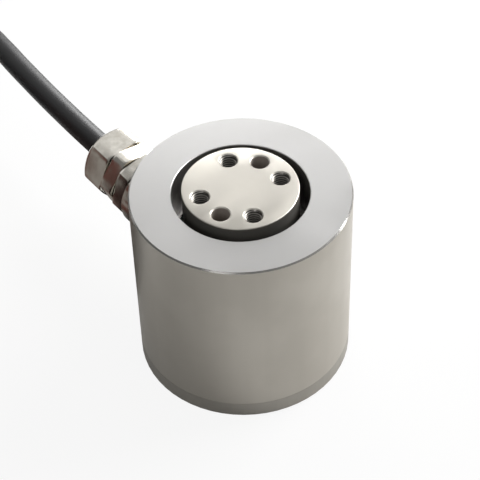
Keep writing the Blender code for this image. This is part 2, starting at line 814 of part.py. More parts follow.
# Base plate with its spigot, sealing groove, board bosses and holes
def make_base():
    spigot_radius = cavity_radius - CLEARANCE
    groove_low = BASE_THICKNESS + GROOVE_RISE
    groove_high = groove_low + GROOVE_HEIGHT
    groove_radius = spigot_radius - GROOVE_DEPTH
    profile = (
        (0.0, spigot_top),
        (spigot_radius, spigot_top),
        (spigot_radius, groove_high),
        (groove_radius, groove_high),
        (groove_radius, groove_low),
        (spigot_radius, groove_low),
        (spigot_radius, BASE_THICKNESS),
        (body_radius, BASE_THICKNESS),
        (body_radius, EDGE_CHAMFER),
        (body_radius - EDGE_CHAMFER, 0.0),
        (0.0, 0.0),
    )
    base = turned("base_plate", profile, BODY_SIDES, base_metal, carrier=sensor)
    board_screw_radius = BOARD_SCREW_DIAMETER / 2
    for i, angle in enumerate(BOSS_ANGLES):
        sunk = spigot_top - CUT_OVERRUN
        boss = turned(
            f"board_boss_{i + 1}",
            ((0.0, boss_top), (BOSS_RADIUS, boss_top), (BOSS_RADIUS, sunk), (0.0, sunk)),
            SMALL_SIDES,
            carrier=sensor,
            at=on_circle(BOSS_CIRCLE_RADIUS, angle),
        )
        join(base, boss)
        thread = drilled(
            f"board_thread_{i + 1}",
            board_screw_radius + CLEARANCE,
            BOARD_SCREW_LENGTH - BOARD_THICKNESS,
            0.0,
            SCREW_SIDES,
            carrier=sensor,
            at=on_circle(BOSS_CIRCLE_RADIUS, angle, boss_top),
        )
        cut(base, thread)
    head_radius = SCREW_HEAD_DIAMETER / 2 + CLEARANCE
    shank_radius = SCREW_DIAMETER / 2 + CLEARANCE
    cone_start = SCREW_RECESS + SCREW_HEAD_EDGE
    cone_end = cone_start + head_radius - shank_radius
    sink_profile = (
        (0.0, BASE_THICKNESS + CUT_OVERRUN),
        (shank_radius, BASE_THICKNESS + CUT_OVERRUN),
        (shank_radius, cone_end),
        (head_radius, cone_start),
        (head_radius, -CUT_OVERRUN),
        (0.0, -CUT_OVERRUN),
    )
    for i in range(SCREW_COUNT):
        angle = SCREW_START_ANGLE + 2 * pi * i / SCREW_COUNT
        sink = turned(
            f"countersink_{i + 1}",
            sink_profile,
            SCREW_SIDES,
            carrier=sensor,
            at=on_circle(screw_circle, angle),
        )
        cut(base, sink)
    for i in range(THREAD_COUNT):
        hole = drilled(
            f"base_thread_{i + 1}",
            THREAD_DIAMETER / 2,
            BASE_HOLE_DEPTH,
            MOUTH_CHAMFER,
            SMALL_SIDES,
            carrier=sensor,
            at=on_circle(BASE_HOLE_RADIUS, 2 * pi * i / THREAD_COUNT),
            turn=(pi, 0.0, 0.0),
        )
        cut(base, hole)
    for i, angle in enumerate(BASE_DOWEL_ANGLES):
        hole = drilled(
            f"base_dowel_{i + 1}",
            DOWEL_DIAMETER / 2,
            BASE_DOWEL_DEPTH,
            MOUTH_CHAMFER,
            SMALL_SIDES,
            carrier=sensor,
            at=on_circle(BASE_HOLE_RADIUS, angle),
            turn=(pi, 0.0, 0.0),
        )
        cut(base, hole)
    seal_radius = (cavity_radius - groove_radius) / 2 - SEAL_GAP
    seal_middle = (cavity_radius + groove_radius) / 2
    centre = (seal_middle, (groove_low + groove_high) / 2)
    section = arc(centre, seal_radius, 0.0, -2 * pi, SEAL_SECTION_SIDES)
    turned("base_seal", section[:-1], INNER_SIDES, rubber, carrier=sensor)


def make_base_screws():
    head_radius = SCREW_HEAD_DIAMETER / 2
    shank_radius = SCREW_DIAMETER / 2
    cone_start = SCREW_RECESS + SCREW_HEAD_EDGE
    cone_end = cone_start + head_radius - shank_radius
    tip = SCREW_RECESS + SCREW_LENGTH
    profile = (
        (0.0, tip),
        (shank_radius, tip),
        (shank_radius, cone_end),
        (head_radius, cone_start),
        (head_radius, SCREW_RECESS),
        (0.0, SCREW_RECESS),
    )
    for i in range(SCREW_COUNT):
        spot = on_circle(screw_circle, SCREW_START_ANGLE + 2 * pi * i / SCREW_COUNT)
        screw = turned(
            f"base_screw_{i + 1}", profile, SCREW_SIDES, screw_steel, carrier=sensor, at=spot
        )
        socket = prism(
            f"base_screw_socket_{i + 1}",
            6,
            SCREW_SOCKET_WIDTH,
            -CUT_OVERRUN,
            SCREW_RECESS + SCREW_SOCKET_DEPTH,
            carrier=sensor,
            at=spot,
        )
        cut(screw, socket)


# Terminal board on its bosses
def make_board():
    profile = (
        (0.0, board_top),
        (BOARD_RADIUS, board_top),
        (BOARD_RADIUS, board_bottom),
        (0.0, board_bottom),
    )
    board = turned("terminal_board", profile, INNER_SIDES, board_green, carrier=sensor)
    hole_radius = BOARD_SCREW_DIAMETER / 2 + CLEARANCE
    shank_radius = BOARD_SCREW_DIAMETER / 2
    head_radius = BOARD_SCREW_HEAD_DIAMETER / 2
    head_bottom = board_top + CLEARANCE
    head_top = head_bottom + BOARD_SCREW_HEAD_HEIGHT
    tip = head_bottom - BOARD_SCREW_LENGTH
    for i, angle in enumerate(BOSS_ANGLES):
        spot = on_circle(BOSS_CIRCLE_RADIUS, angle)
        low = board_bottom - CUT_OVERRUN
        high = board_top + CUT_OVERRUN
        hole = turned(
            f"board_hole_{i + 1}",
            ((0.0, high), (hole_radius, high), (hole_radius, low), (0.0, low)),
            SCREW_SIDES,
            carrier=sensor,
            at=spot,
        )
        cut(board, hole)
        profile = (
            (0.0, head_top),
            (head_radius - EDGE_CHAMFER, head_top),
            (head_radius, head_top - EDGE_CHAMFER),
            (head_radius, head_bottom),
            (shank_radius, head_bottom),
            (shank_radius, tip),
            (0.0, tip),
        )
        turned(
            f"board_screw_{i + 1}", profile, SCREW_SIDES, screw_steel, carrier=sensor, at=spot
        )


# Cable gland. Its own Z runs outward from the wall.
seat_radius_of_shank = SHANK_DIAMETER / 2 + CLEARANCE
seat_plane = -(body_radius - sqrt(body_radius**2 - seat_radius_of_shank**2)) - SEAT_DEPTH
adapter_seal_low = seat_plane + GLUE_LINE
adapter_seal_high = adapter_seal_low + ADAPTER_SEAL_THICKNESS
shank_low = adapter_seal_high + GLUE_LINE
adapter_hex_low = SHANK_LENGTH
adapter_top = adapter_hex_low + ADAPTER_HEX_LENGTH
body_hex_low = adapter_top + CLEARANCE
body_hex_high = body_hex_low + BODY_HEX_LENGTH
nut_low = body_hex_high + CLEARANCE
nut_high = nut_low + NUT_LENGTH
body_thread_low = adapter_top - BODY_THREAD_LENGTH
skirt_top = nut_low + NUT_SKIRT_DEPTH
body_top = skirt_top - BODY_MOUTH_DROP
grommet_seat = body_top - GROMMET_LENGTH + GROMMET_PROUD
grommet_radius = cable_radius + CLEARANCE + GROMMET_WALL
hex_corner = GLAND_FLATS / 2 / cos(pi / 6)
gland_axis = empty(
    "gland_axis",
    at=on_circle(body_radius, GLAND_ANGLE, gland_height),
    turn=(0.0, pi / 2, GLAND_ANGLE),
    carrier=sensor,
)


def hex_blank(name, low, high, spin):
    # A hexagonal prism whose corners are turned back at both ends.
    blank = prism(name, 6, GLAND_FLATS, low, high, nickel, spin, carrier=gland_axis)
    edge = hex_corner - HEX_CHAMFER
    wide = hex_corner + CORNER_PLAY
    rise = wide - edge
    chamfer = turned(
        name + "_corners",
        (
            (0.0, high + CUT_OVERRUN),
            (edge, high + CUT_OVERRUN),
            (edge, high),
            (wide, high - rise),
            (wide, low + rise),
            (edge, low),
            (edge, low - CUT_OVERRUN),
            (0.0, low - CUT_OVERRUN),
        ),
        GLAND_SIDES,
        carrier=gland_axis,
    )
    change(blank, chamfer, "INTERSECT")
    return blank


def make_adapter():
    adapter = hex_blank("gland_adapter", adapter_hex_low, adapter_top, ADAPTER_CORNER_ANGLE)
    neck_radius = SHANK_DIAMETER / 2 - ADAPTER_NECK_DEPTH
    shank_radius = SHANK_DIAMETER / 2
    thread_radius = WALL_THREAD_DIAMETER / 2
    inner_end = -(body_radius - cavity_radius) + CLEARANCE
    middle = (adapter_hex_low + adapter_top) / 2
    shank = turned(
        "adapter_shank",
        (
            (0.0, middle),
            (neck_radius, middle),
            (neck_radius, adapter_hex_low - ADAPTER_NECK_LENGTH),
            (shank_radius - EDGE_CHAMFER, adapter_hex_low - ADAPTER_NECK_LENGTH),
            (shank_radius, adapter_hex_low - ADAPTER_NECK_LENGTH - EDGE_CHAMFER),
            (shank_radius, shank_low),
            (thread_radius, shank_low),
            (thread_radius, inner_end),
            (0.0, inner_end),
        ),
        GLAND_SIDES,
        carrier=gland_axis,
    )
    join(adapter, shank)
    socket = BODY_THREAD_DIAMETER / 2 + CLEARANCE
    socket_low = body_thread_low - CLEARANCE
    bore = turned(
        "adapter_bore",
        (
            (0.0, adapter_top + CUT_OVERRUN),
            (socket, adapter_top + CUT_OVERRUN),
            (socket, socket_low),
            (cable_bore, socket_low),
            (cable_bore, inner_end - CUT_OVERRUN),
            (0.0, inner_end - CUT_OVERRUN),
        ),
        GLAND_SIDES,
        carrier=gland_axis,
    )
    cut(adapter, bore)
    seal_profile = (
        (thread_radius + CLEARANCE, adapter_seal_high),
        (shank_radius - CLEARANCE, adapter_seal_high),
        (shank_radius - CLEARANCE, adapter_seal_low),
        (thread_radius + CLEARANCE, adapter_seal_low),
    )
    turned("adapter_seal", seal_profile, HOLE_SIDES, rubber, carrier=gland_axis)


def make_gland_body():
    body = hex_blank("gland_body", body_hex_low, body_hex_high, BODY_CORNER_ANGLE)
    thread_radius = BODY_THREAD_DIAMETER / 2
    threads = turned(
        "body_threads",
        (
            (0.0, body_top),
            (thread_radius - EDGE_CHAMFER, body_top),
            (thread_radius, body_top - EDGE_CHAMFER),
            (thread_radius, body_thread_low + EDGE_CHAMFER),
            (thread_radius - EDGE_CHAMFER, body_thread_low),
            (0.0, body_thread_low),
        ),
        GLAND_SIDES,
        carrier=gland_axis,
    )
    join(body, threads)
    grommet_bore = grommet_radius + CLEARANCE
    bore = turned(
        "body_bore",
        (
            (0.0, body_top + CUT_OVERRUN),
            (grommet_bore, body_top + CUT_OVERRUN),
            (grommet_bore, grommet_seat - CLEARANCE),
            (cable_bore, grommet_seat - CLEARANCE),
            (cable_bore, body_thread_low - CUT_OVERRUN),
            (0.0, body_thread_low - CUT_OVERRUN),
        ),
        GLAND_SIDES,
        carrier=gland_axis,
    )
    cut(body, bore)


def make_grommet_and_clamp():
    inner = cable_radius + CLEARANCE
    grommet_top = grommet_seat + GROMMET_LENGTH
    profile = (
        (inner, grommet_top),
        (grommet_radius - GROMMET_TAPER, grommet_top),
        (grommet_radius, grommet_top - GROMMET_TAPER),
        (grommet_radius, grommet_seat),
        (inner, grommet_seat),
    )
    turned("gland_grommet", profile, SMALL_SIDES, rubber, carrier=gland_axis)
    low = grommet_top + CLEARANCE
    high = low + CLAMP_LENGTH
    wide = BODY_THREAD_DIAMETER / 2 - 2 * CLEARANCE
    profile = (
        (inner, high),
        (wide - CLAMP_TAPER, high),
        (wide, low + CLAMP_LAND),
        (wide, low),
        (inner, low),
    )
    turned("gland_clamp", profile, SMALL_SIDES, rubber, carrier=gland_axis)


def make_nut():
    nut = prism(
        "gland_nut",
        6,
        GLAND_FLATS,
        nut_low,
        nut_high,
        nickel,
        NUT_CORNER_ANGLE,
        carrier=gland_axis,
    )
    dome_low = nut_high - NUT_DOME_LENGTH
    shoulder = (hex_corner, dome_low)
    swell = (hex_corner - NUT_DOME_TUCK, dome_low + NUT_DOME_FULLNESS * NUT_DOME_LENGTH)
    rim = (NUT_MOUTH_RIM_RADIUS, nut_high)
    steps = 6
    dome = []
    for i in range(steps + 1):
        t = i / steps
        radius, height = (
            (1 - t) ** 2 * a + 2 * t * (1 - t) * b + t * t * c
            for a, b, c in zip(rim, swell, shoulder)
        )
        dome.append((radius, height))
    edge = hex_corner - HEX_CHAMFER
    wide = hex_corner + CORNER_PLAY
    profile = [
        (0.0, nut_high + CUT_OVERRUN),
        (NUT_MOUTH_RIM_RADIUS, nut_high + CUT_OVERRUN),
        *dome,
        (wide, dome_low - CORNER_PLAY),
        (wide, nut_low + wide - edge),
        (edge, nut_low),
        (edge, nut_low - CUT_OVERRUN),
        (0.0, nut_low - CUT_OVERRUN),
    ]
    change(nut, turned("nut_dome", profile, GLAND_SIDES, carrier=gland_axis), "INTERSECT")
    socket = BODY_THREAD_DIAMETER / 2 + CLEARANCE
    mouth = NUT_MOUTH_RADIUS
    flared = mouth + NUT_MOUTH_FLARE
    bore = turned(
        "nut_bore",
        (
            (0.0, nut_high + CUT_OVERRUN),
            (flared, nut_high + CUT_OVERRUN),
            (flared, nut_high),
            (mouth, nut_high - NUT_MOUTH_FLARE),
            (mouth, nut_high - 2 * NUT_MOUTH_FLARE),
            (socket, skirt_top),
            (socket, nut_low - CUT_OVERRUN),
            (0.0, nut_low - CUT_OVERRUN),
        ),
        GLAND_SIDES,
        carrier=gland_axis,
    )
    cut(nut, bore)


# Cable: its inner end, its free stretch, the stored turns and the bare leads
def make_inner_cable():
    inner_end = -INNER_CABLE_REACH
    outer_end = CABLE_START - CLEARANCE
    profile = (
        (0.0, outer_end),
        (cable_radius, outer_end),
        (cable_radius, inner_end),
        (0.0, inner_end),
    )
    turned("cable_inside", profile, SMALL_SIDES, jacket, carrier=gland_axis)
    start_radius = body_radius + inner_end - CLEARANCE
    fall = gland_height - board_top - CLEARANCE
    route = []
    for inward, share in CORE_BEND:
        route.append(on_circle(start_radius - inward, GLAND_ANGLE, gland_height - share * fall))
    tube("core_bundle", route, CORE_DIAMETER, jacket)


coil_lift = TIE_THICKNESS + TIE_PLAY
row_heights = [coil_lift + cable_radius + i * COIL_PITCH for i in range(COIL_ROWS)]
coil_top = row_heights[-1] + cable_radius
coil_outside = COIL_OUTER_TURN + cable_radius


def make_free_cable():
    route = [*CABLE_ROUTE, on_coil(COIL_OUTER_TURN, COIL_START_ANGLE, row_heights[0])]
    clear = coil_outside + cable_radius + CLEARANCE
    centre = Vector(COIL_CENTRE)
    fine = CABLE_POINT_SPACING / CURVE_STEPS
    path = []
    for point in smooth_path(route, fine):
        if (point.xy - centre).length < clear:
            break
        path.append(point)
    count = round(fine * len(path) / CABLE_POINT_SPACING)
    picked = [path[round(i * (len(path) - 1) / count)] for i in range(count + 1)]
    tube("cable", picked, CABLE_DIAMETER, jacket, resolution=3)


def on_coil(radius, angle, height):
    x, y, _ = on_circle(radius, angle)
    return Vector((COIL_CENTRE[0] + x, COIL_CENTRE[1] + y, height))


def make_coil():
    corners = (
        (COIL_INNER_TURN, row_heights[0]),
        (COIL_OUTER_TURN, row_heights[0]),
        (COIL_OUTER_TURN, row_heights[-1]),
        (COIL_INNER_TURN, row_heights[-1]),
    )
    section = rounded(corners, cable_radius, CORNER_STEPS)[::-1]
    at = (*COIL_CENTRE, 0.0)
    turned("cable_coil", section, INNER_SIDES, jacket, carrier=sensor, at=at)


# The free end lies on the turns: cable, heat shrink, then the bare leads
tail_height = coil_top + CLEARANCE + cable_radius
shrink_outside = cable_radius + CLEARANCE + SHRINK_WALL
shrink_height = coil_top + CLEARANCE + shrink_outside
shrink_heading = SHRINK_ANGLE + pi / 2
shrink_middle = on_coil(SHRINK_RADIUS, SHRINK_ANGLE, shrink_height)
shrink_along = Vector(on_circle(1.0, shrink_heading))
shrink_across = Vector(on_circle(1.0, SHRINK_ANGLE))
shrink_start = shrink_middle - shrink_along * SHRINK_LENGTH / 2
shrink_end = shrink_middle + shrink_along * SHRINK_LENGTH / 2


def tail_points():
    found = []
    for i in range(TAIL_STEPS + 1):
        share = i / (TAIL_STEPS + 1)
        ease = share * share * (3 - 2 * share)
        radius = COIL_INNER_TURN + (SHRINK_RADIUS - COIL_INNER_TURN) * ease
        height = tail_height + (shrink_height - tail_height) * ease
        found.append(on_coil(radius, TAIL_START_ANGLE + i * TAIL_STEP, height))
    for reach in (-TAIL_STRAIGHT, 0.0, SHRINK_SLEEVE - CLEARANCE):
        found.append(shrink_start + shrink_along * reach)
    return found


def make_tail():
    path = smooth_path(tail_points(), TAIL_POINT_SPACING)
    tube("cable_tail", path, CABLE_DIAMETER, jacket, resolution=3)
    sleeve = cable_radius + CLEARANCE
    neck = CORE_RING_RADIUS + CORE_WIRE_DIAMETER / 2 + CLEARANCE
    slope_high = SHRINK_LENGTH - SHRINK_SLEEVE - SHRINK_SLOPE
    slope_low = slope_high - SHRINK_SLOPE
    profile = (
        (sleeve, SHRINK_LENGTH),
        (sleeve + SHRINK_WALL, SHRINK_LENGTH),
        (sleeve + SHRINK_WALL, slope_high),
        (neck + SHRINK_WALL, slope_low),
        (neck + SHRINK_WALL, 0.0),
        (neck, 0.0),
        (neck, slope_low),
        (sleeve, slope_high),
    )
    turned(
        "heat_shrink",
        profile,
        SMALL_SIDES,
        rubber,
        carrier=sensor,
        at=shrink_end,
        turn=(0.0, -pi / 2, shrink_heading),
    )


def make_leads():
    inside = shrink_end - shrink_along * WIRE_GRIP
    wires = []
    for i in range(CORE_COUNT):
        angle = CORE_RING_TURN + 2 * pi * i / CORE_COUNT
        wires.append((CORE_RING_RADIUS * cos(angle), CORE_RING_RADIUS * sin(angle), i))
    wires.append((0.0, 0.0, CORE_COUNT))
    wires.sort()
    surfaces = [finish(f"core_{name}", colour, 0.45, 0.0) for name, colour in core_colours.items()]
    start_angle = atan2(shrink_end.y - COIL_CENTRE[1], shrink_end.x - COIL_CENTRE[0])
    start_radius = hypot(shrink_end.x - COIL_CENTRE[0], shrink_end.y - COIL_CENTRE[1])
    for order, (across, up, number) in enumerate(wires):
        bare = number == CORE_COUNT
        diameter = DRAIN_WIRE_DIAMETER if bare else CORE_WIRE_DIAMETER
        name = "drain_wire" if bare else f"flying_lead_{number + 1}"
        surface = tinned if bare else surfaces[number]
        lying = coil_top + CLEARANCE + diameter / 2
        spread = (order - (len(wires) - 1) / 2) * WIRE_SPACING
        path = [inside + shrink_across * across + Vector((0.0, 0.0, up))]
        for reach, share in WIRE_FAN:
            angle = start_angle + reach / start_radius
            aside = across + (spread + WIRE_OUTWARD - across) * share
            height = shrink_height + up + (lying - shrink_height - up) * share
            path.append(on_coil(start_radius + aside, angle, height))
        tube(name, path, diameter, surface, resolution=1)


def make_ties():
    for i, angle in enumerate(TIE_ANGLES):
        centres = [
            (COIL_INNER_TURN, row_heights[0]),
            (COIL_OUTER_TURN, row_heights[0]),
            (COIL_OUTER_TURN, row_heights[-1]),
        ]
        held_tail = nearest_tail_point(angle)
        if held_tail:
            centres.append(held_tail)
        centres.append((COIL_INNER_TURN, row_heights[-1]))
        inner = rounded(centres, cable_radius + TIE_PLAY, CORNER_STEPS)
        outer = rounded(centres, cable_radius + TIE_PLAY + TIE_THICKNESS, CORNER_STEPS)
        tie = slab(
            f"cable_tie_{i + 1}",
            [outer, inner],
            -TIE_WIDTH / 2,
            TIE_WIDTH / 2,
            tie_plastic,
            carrier=sensor,
            at=(*COIL_CENTRE, 0.0),
            turn=(pi / 2, 0.0, angle),
        )
        head_radius = coil_outside + TIE_PLAY + TIE_THICKNESS / 2 + TIE_HEAD[2] / 2
        head = box(
            f"tie_head_{i + 1}",
            (TIE_HEAD[2], TIE_HEAD[0], TIE_HEAD[1]),
            carrier=sensor,
            at=on_coil(head_radius, angle, row_heights[1]),
            turn=(0.0, 0.0, angle),
        )
        join(tie, head)


def nearest_tail_point(angle):
    # Where the lying tail passes through a tie, as (radius, height), if it does.
    for a, b in zip(tail_points(), tail_points()[1:]):
        ends = [atan2(p.y - COIL_CENTRE[1], p.x - COIL_CENTRE[0]) % (2 * pi) for p in (a, b)]
        if ends[0] <= angle <= ends[1]:
            share = (angle - ends[0]) / (ends[1] - ends[0])
            point = a.lerp(b, share)
            radius = hypot(point.x - COIL_CENTRE[0], point.y - COIL_CENTRE[1])
            return (radius, point.z)
    return None


make_housing()
make_platform()
make_flexure()
make_platform_fasteners()
make_retaining_ring()
make_gauges()
make_base()
make_base_screws()
make_board()
make_adapter()
make_gland_body()
make_grommet_and_clamp()
make_nut()
make_inner_cable()
make_free_cable()
make_coil()
make_tail()
make_leads()
make_ties()
shade_parts()
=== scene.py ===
# Multi-axis force sensor: camera, cable and coil, finishes, body, threads, gland and studio.
import json
from math import atan2, ceil, cos, hypot, pi, radians, sin, sqrt

import bmesh
import bpy
from mathutils import Matrix, Vector


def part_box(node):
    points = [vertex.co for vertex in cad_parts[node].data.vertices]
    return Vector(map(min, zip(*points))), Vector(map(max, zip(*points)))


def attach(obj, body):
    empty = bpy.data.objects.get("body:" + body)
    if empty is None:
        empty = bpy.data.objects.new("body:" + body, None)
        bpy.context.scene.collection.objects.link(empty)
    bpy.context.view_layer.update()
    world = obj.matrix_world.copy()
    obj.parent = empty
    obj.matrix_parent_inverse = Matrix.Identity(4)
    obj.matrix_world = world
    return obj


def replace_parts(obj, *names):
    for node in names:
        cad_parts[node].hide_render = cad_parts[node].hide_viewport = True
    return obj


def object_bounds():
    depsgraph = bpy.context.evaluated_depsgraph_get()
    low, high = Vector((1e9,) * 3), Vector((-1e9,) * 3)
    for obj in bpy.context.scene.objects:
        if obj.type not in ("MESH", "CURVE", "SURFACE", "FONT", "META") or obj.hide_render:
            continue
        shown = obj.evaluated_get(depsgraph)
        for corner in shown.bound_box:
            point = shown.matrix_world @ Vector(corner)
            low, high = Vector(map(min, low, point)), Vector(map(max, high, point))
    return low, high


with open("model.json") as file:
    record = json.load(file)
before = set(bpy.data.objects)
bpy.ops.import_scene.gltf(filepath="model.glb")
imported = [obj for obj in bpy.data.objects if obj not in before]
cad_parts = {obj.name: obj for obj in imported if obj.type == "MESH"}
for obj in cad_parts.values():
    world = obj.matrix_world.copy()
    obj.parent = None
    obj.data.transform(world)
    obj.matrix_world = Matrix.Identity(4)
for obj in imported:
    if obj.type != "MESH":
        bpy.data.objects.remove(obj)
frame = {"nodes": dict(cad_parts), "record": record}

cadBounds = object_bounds()
scene = bpy.context.scene
scene.view_settings.view_transform = "Standard"
print("frame loaded")


# Lengths are in metres.
def linked(name, data):
    piece = bpy.data.objects.new(name, data)
    scene.collection.objects.link(piece)
    return piece


def riding(name, data):
    piece = linked(name, data)
    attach(piece, "root")
    return piece


# Camera, fitted to the photograph
cameraView = {
    "place": (-0.08538, -0.29569, 0.35013),
    "turn": radians(-16.0),
    "tilt": radians(44.71),
    "roll": radians(-1.92),
    "lens": 119.85,
    "clipStart": 0.01,
}


def makeCamera():
    view = cameraView
    data = bpy.data.cameras.new("photoCamera")
    data.lens = view["lens"]
    data.clip_start = view["clipStart"]
    camera = linked("photoCamera", data)
    aim = Matrix.Rotation(view["turn"], 4, "Z") @ Matrix.Rotation(view["tilt"], 4, "X")
    roll = Matrix.Rotation(view["roll"], 4, "Z")
    camera.matrix_world = Matrix.Translation(view["place"]) @ aim @ roll
    scene.camera = camera


makeCamera()


# Cable: one line from the gland through its stored turns to the heat shrink
cable = {
    "diameter": 0.0075,
    "length": 2.0,
    "smoothness": 10,
    "roundness": 8,
    "exit": (-0.0238, 0.0636, 0.0244),  # the nut's mouth
    "route": (
        (-0.0140, 0.0375, 0.0244),
        (-0.0193, 0.0515, 0.0244),
        (-0.0245, 0.0656, 0.0244),
        (-0.0280, 0.0749, 0.0244),
        (-0.0314, 0.0843, 0.0244),
        (-0.0347, 0.0938, 0.0244),
        (-0.0378, 0.1033, 0.0244),
        (-0.0408, 0.1128, 0.0244),
        (-0.0437, 0.1224, 0.0244),
        (-0.0469, 0.1319, 0.0239),
        (-0.0518, 0.1405, 0.0220),
        (-0.0588, 0.1476, 0.0185),
        (-0.0675, 0.1526, 0.0136),
        (-0.0771, 0.1552, 0.0089),
        (-0.0871, 0.1553, 0.0057),
        (-0.0970, 0.1540, 0.0041),
        (-0.1068, 0.1524, 0.0040),
    ),
}
coil = {  # angles in degrees
    "centre": (-0.1100, 0.1045),
    "outerTurn": 0.0475,
    "innerTurn": 0.0305,
    "lowestRow": 0.00545,
    "rowPitch": 0.0076,
    "rows": 3,
    "startAngle": 100.0,
    "turnsInRow": 2.25,
    "climb": 90.0,
    "step": 22.5,
}
tail = {  # angles in degrees, from the coil's last turn to the heat shrink
    "height": 0.02845,
    "angles": (284.0, 296.0, 308.0),
    "straight": 0.0030,
    "sleeve": 0.0097,
}
shrink = {
    "angle": radians(345.0),
    "radius": 0.0345,
    "height": 0.0293,
    "length": 0.0220,
    "wall": 0.00055,
    "sides": 48,
}
shrink["along"] = Vector((-sin(shrink["angle"]), cos(shrink["angle"]), 0.0))
shrink["across"] = Vector((cos(shrink["angle"]), sin(shrink["angle"]), 0.0))


def onCoil(radius, angle, height):
    x, y = coil["centre"]
    return Vector((x + radius * cos(angle), y + radius * sin(angle), height))


def eased(share):
    return share * share * (3 - 2 * share)


shrinkMiddle = onCoil(shrink["radius"], shrink["angle"], shrink["height"])
shrinkStart = shrinkMiddle - shrink["along"] * shrink["length"] / 2
shrinkEnd = shrinkMiddle + shrink["along"] * shrink["length"] / 2


def coilPoints():  # rows wound inward and outward by turns, with a climb after each
    outer, inner, pitch = coil["outerTurn"], coil["innerTurn"], coil["rowPitch"]
    sweep = 360.0 * coil["turnsInRow"]
    angle, height = coil["startAngle"], coil["lowestRow"]
    found = []
    for row in range(coil["rows"]):
        begin, end = (outer, inner) if row % 2 == 0 else (inner, outer)
        steps = round(sweep / coil["step"])
        for i in range(steps):
            share = i / steps
            radius = begin + (end - begin) * share
            found.append(onCoil(radius, radians(angle + sweep * share), height))
        angle += sweep
        rise = pitch if row < coil["rows"] - 1 else tail["height"] - height
        steps = round(coil["climb"] / coil["step"])
        for i in range(steps):
            share = i / steps
            turned = radians(angle + coil["climb"] * share)
            found.append(onCoil(end, turned, height + rise * eased(share)))
        angle += coil["climb"]
        height += rise
    return found


def tailPoints():
    found = []
    count = len(tail["angles"])
    for i, angle in enumerate(tail["angles"]):
        share = eased(i / count)
        radius = coil["innerTurn"] + (shrink["radius"] - coil["innerTurn"]) * share
        height = tail["height"] + (shrink["height"] - tail["height"]) * share
        found.append(onCoil(radius, radians(angle), height))
    for reach in (-tail["straight"], 0.0, tail["sleeve"]):
        found.append(shrinkStart + shrink["along"] * reach)
    return found


def drawnTube(name, points, diameter, smoothness, roundness):
    curve = bpy.data.curves.new(name, "CURVE")
    curve.dimensions = "3D"
    curve.bevel_depth = 1.0  # times each point's radius, which the curve's box allows for
    curve.bevel_resolution = roundness
    curve.resolution_u = smoothness
    curve.use_fill_caps = True
    spline = curve.splines.new("BEZIER")
    spline.bezier_points.add(len(points) - 1)
    for knot, point in zip(spline.bezier_points, points):
        knot.co = point
        knot.radius = diameter / 2
        knot.handle_left_type = "AUTO"
        knot.handle_right_type = "AUTO"
    return riding(name, curve)


cablePoints = [Vector(point) for point in cable["route"]] + coilPoints() + tailPoints()
cablePiece = drawnTube(
    "jacketed_cable", cablePoints, cable["diameter"], cable["smoothness"], cable["roundness"]
)
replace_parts(cablePiece, "cable", "cable_coil", "cable_tail")
print("camera and cable")


# Node helpers
def addNode(tree, kind, values=None, **settings):
    made = tree.nodes.new(kind)
    for key, value in settings.items():
        setattr(made, key, value)
    for key, value in (values or {}).items():
        socket = made.inputs[key]
        if isinstance(value, bpy.types.NodeSocket):
            tree.links.new(value, socket)
        elif socket.type == "RGBA":
            socket.default_value = (*value, 1.0)
        else:
            socket.default_value = value
    return made


def calculate(tree, operation, a, b=0.0, c=0.0):
    return addNode(tree, "ShaderNodeMath", {0: a, 1: b, 2: c}, operation=operation).outputs[0]


def blend(tree, share, a, b):
    return addNode(tree, "ShaderNodeMix", {0: share, 6: a, 7: b}, data_type="RGBA").outputs[2]


def remap(tree, value, low, high, toLow=0.0, toHigh=1.0):
    values = {"Value": value, 1: low, 2: high, 3: toLow, 4: toHigh}
    return addNode(tree, "ShaderNodeMapRange", values, interpolation_type="SMOOTHSTEP").outputs[0]


def ownSpot(tree):  # where a point lies on its piece
    return addNode(tree, "ShaderNodeTexCoord").outputs["Object"]


def noiseAt(tree, where, scale, detail, roughness=0.5):
    values = {"Vector": where, "Scale": scale, "Detail": detail, "Roughness": roughness}
    return addNode(tree, "ShaderNodeTexNoise", values).outputs["Fac"]


def startGroup(name, inputs, outputs):
    group = bpy.data.node_groups.new(name, "ShaderNodeTree")
    kinds = {"colour": "NodeSocketColor", "value": "NodeSocketFloat"}
    for title, kind, default in inputs:
        socket = group.interface.new_socket(title, in_out="INPUT", socket_type=kinds[kind])
        socket.default_value = (*default, 1.0) if kind == "colour" else default
    for title, kind in outputs:
        group.interface.new_socket(title, in_out="OUTPUT", socket_type=kinds[kind])
    return group, group.nodes.new("NodeGroupInput"), group.nodes.new("NodeGroupOutput")


def makeMottleGroup():  # slow change of colour over a surface
    inputs = (
        ("Colour", "colour", (0.5, 0.5, 0.5)),
        ("Tint", "colour", (0.4, 0.4, 0.4)),
        ("Scale", "value", 60.0),
        ("Amount", "value", 0.5),
        ("Low", "value", 0.34),
        ("High", "value", 0.66),
    )
    group, given, out = startGroup("softMottle", inputs, (("Colour", "colour"), ("Mask", "value")))
    noise = noiseAt(group, ownSpot(group), given.outputs["Scale"], 3.0, roughness=0.55)
    mask = remap(group, noise, given.outputs["Low"], given.outputs["High"])
    share = calculate(group, "MULTIPLY", mask, given.outputs["Amount"])
    colour = blend(group, share, given.outputs["Colour"], given.outputs["Tint"])
    group.links.new(colour, out.inputs["Colour"])
    group.links.new(mask, out.inputs["Mask"])
    return group


def makeGrainGroup():  # fine blasted or moulded grain, as a height
    inputs = (("Scale", "value", 4000.0),)
    group, given, out = startGroup("fineGrain", inputs, (("Height", "value"),))
    height = noiseAt(group, ownSpot(group), given.outputs["Scale"], 2.0)
    group.links.new(height, out.inputs["Height"])
    return group


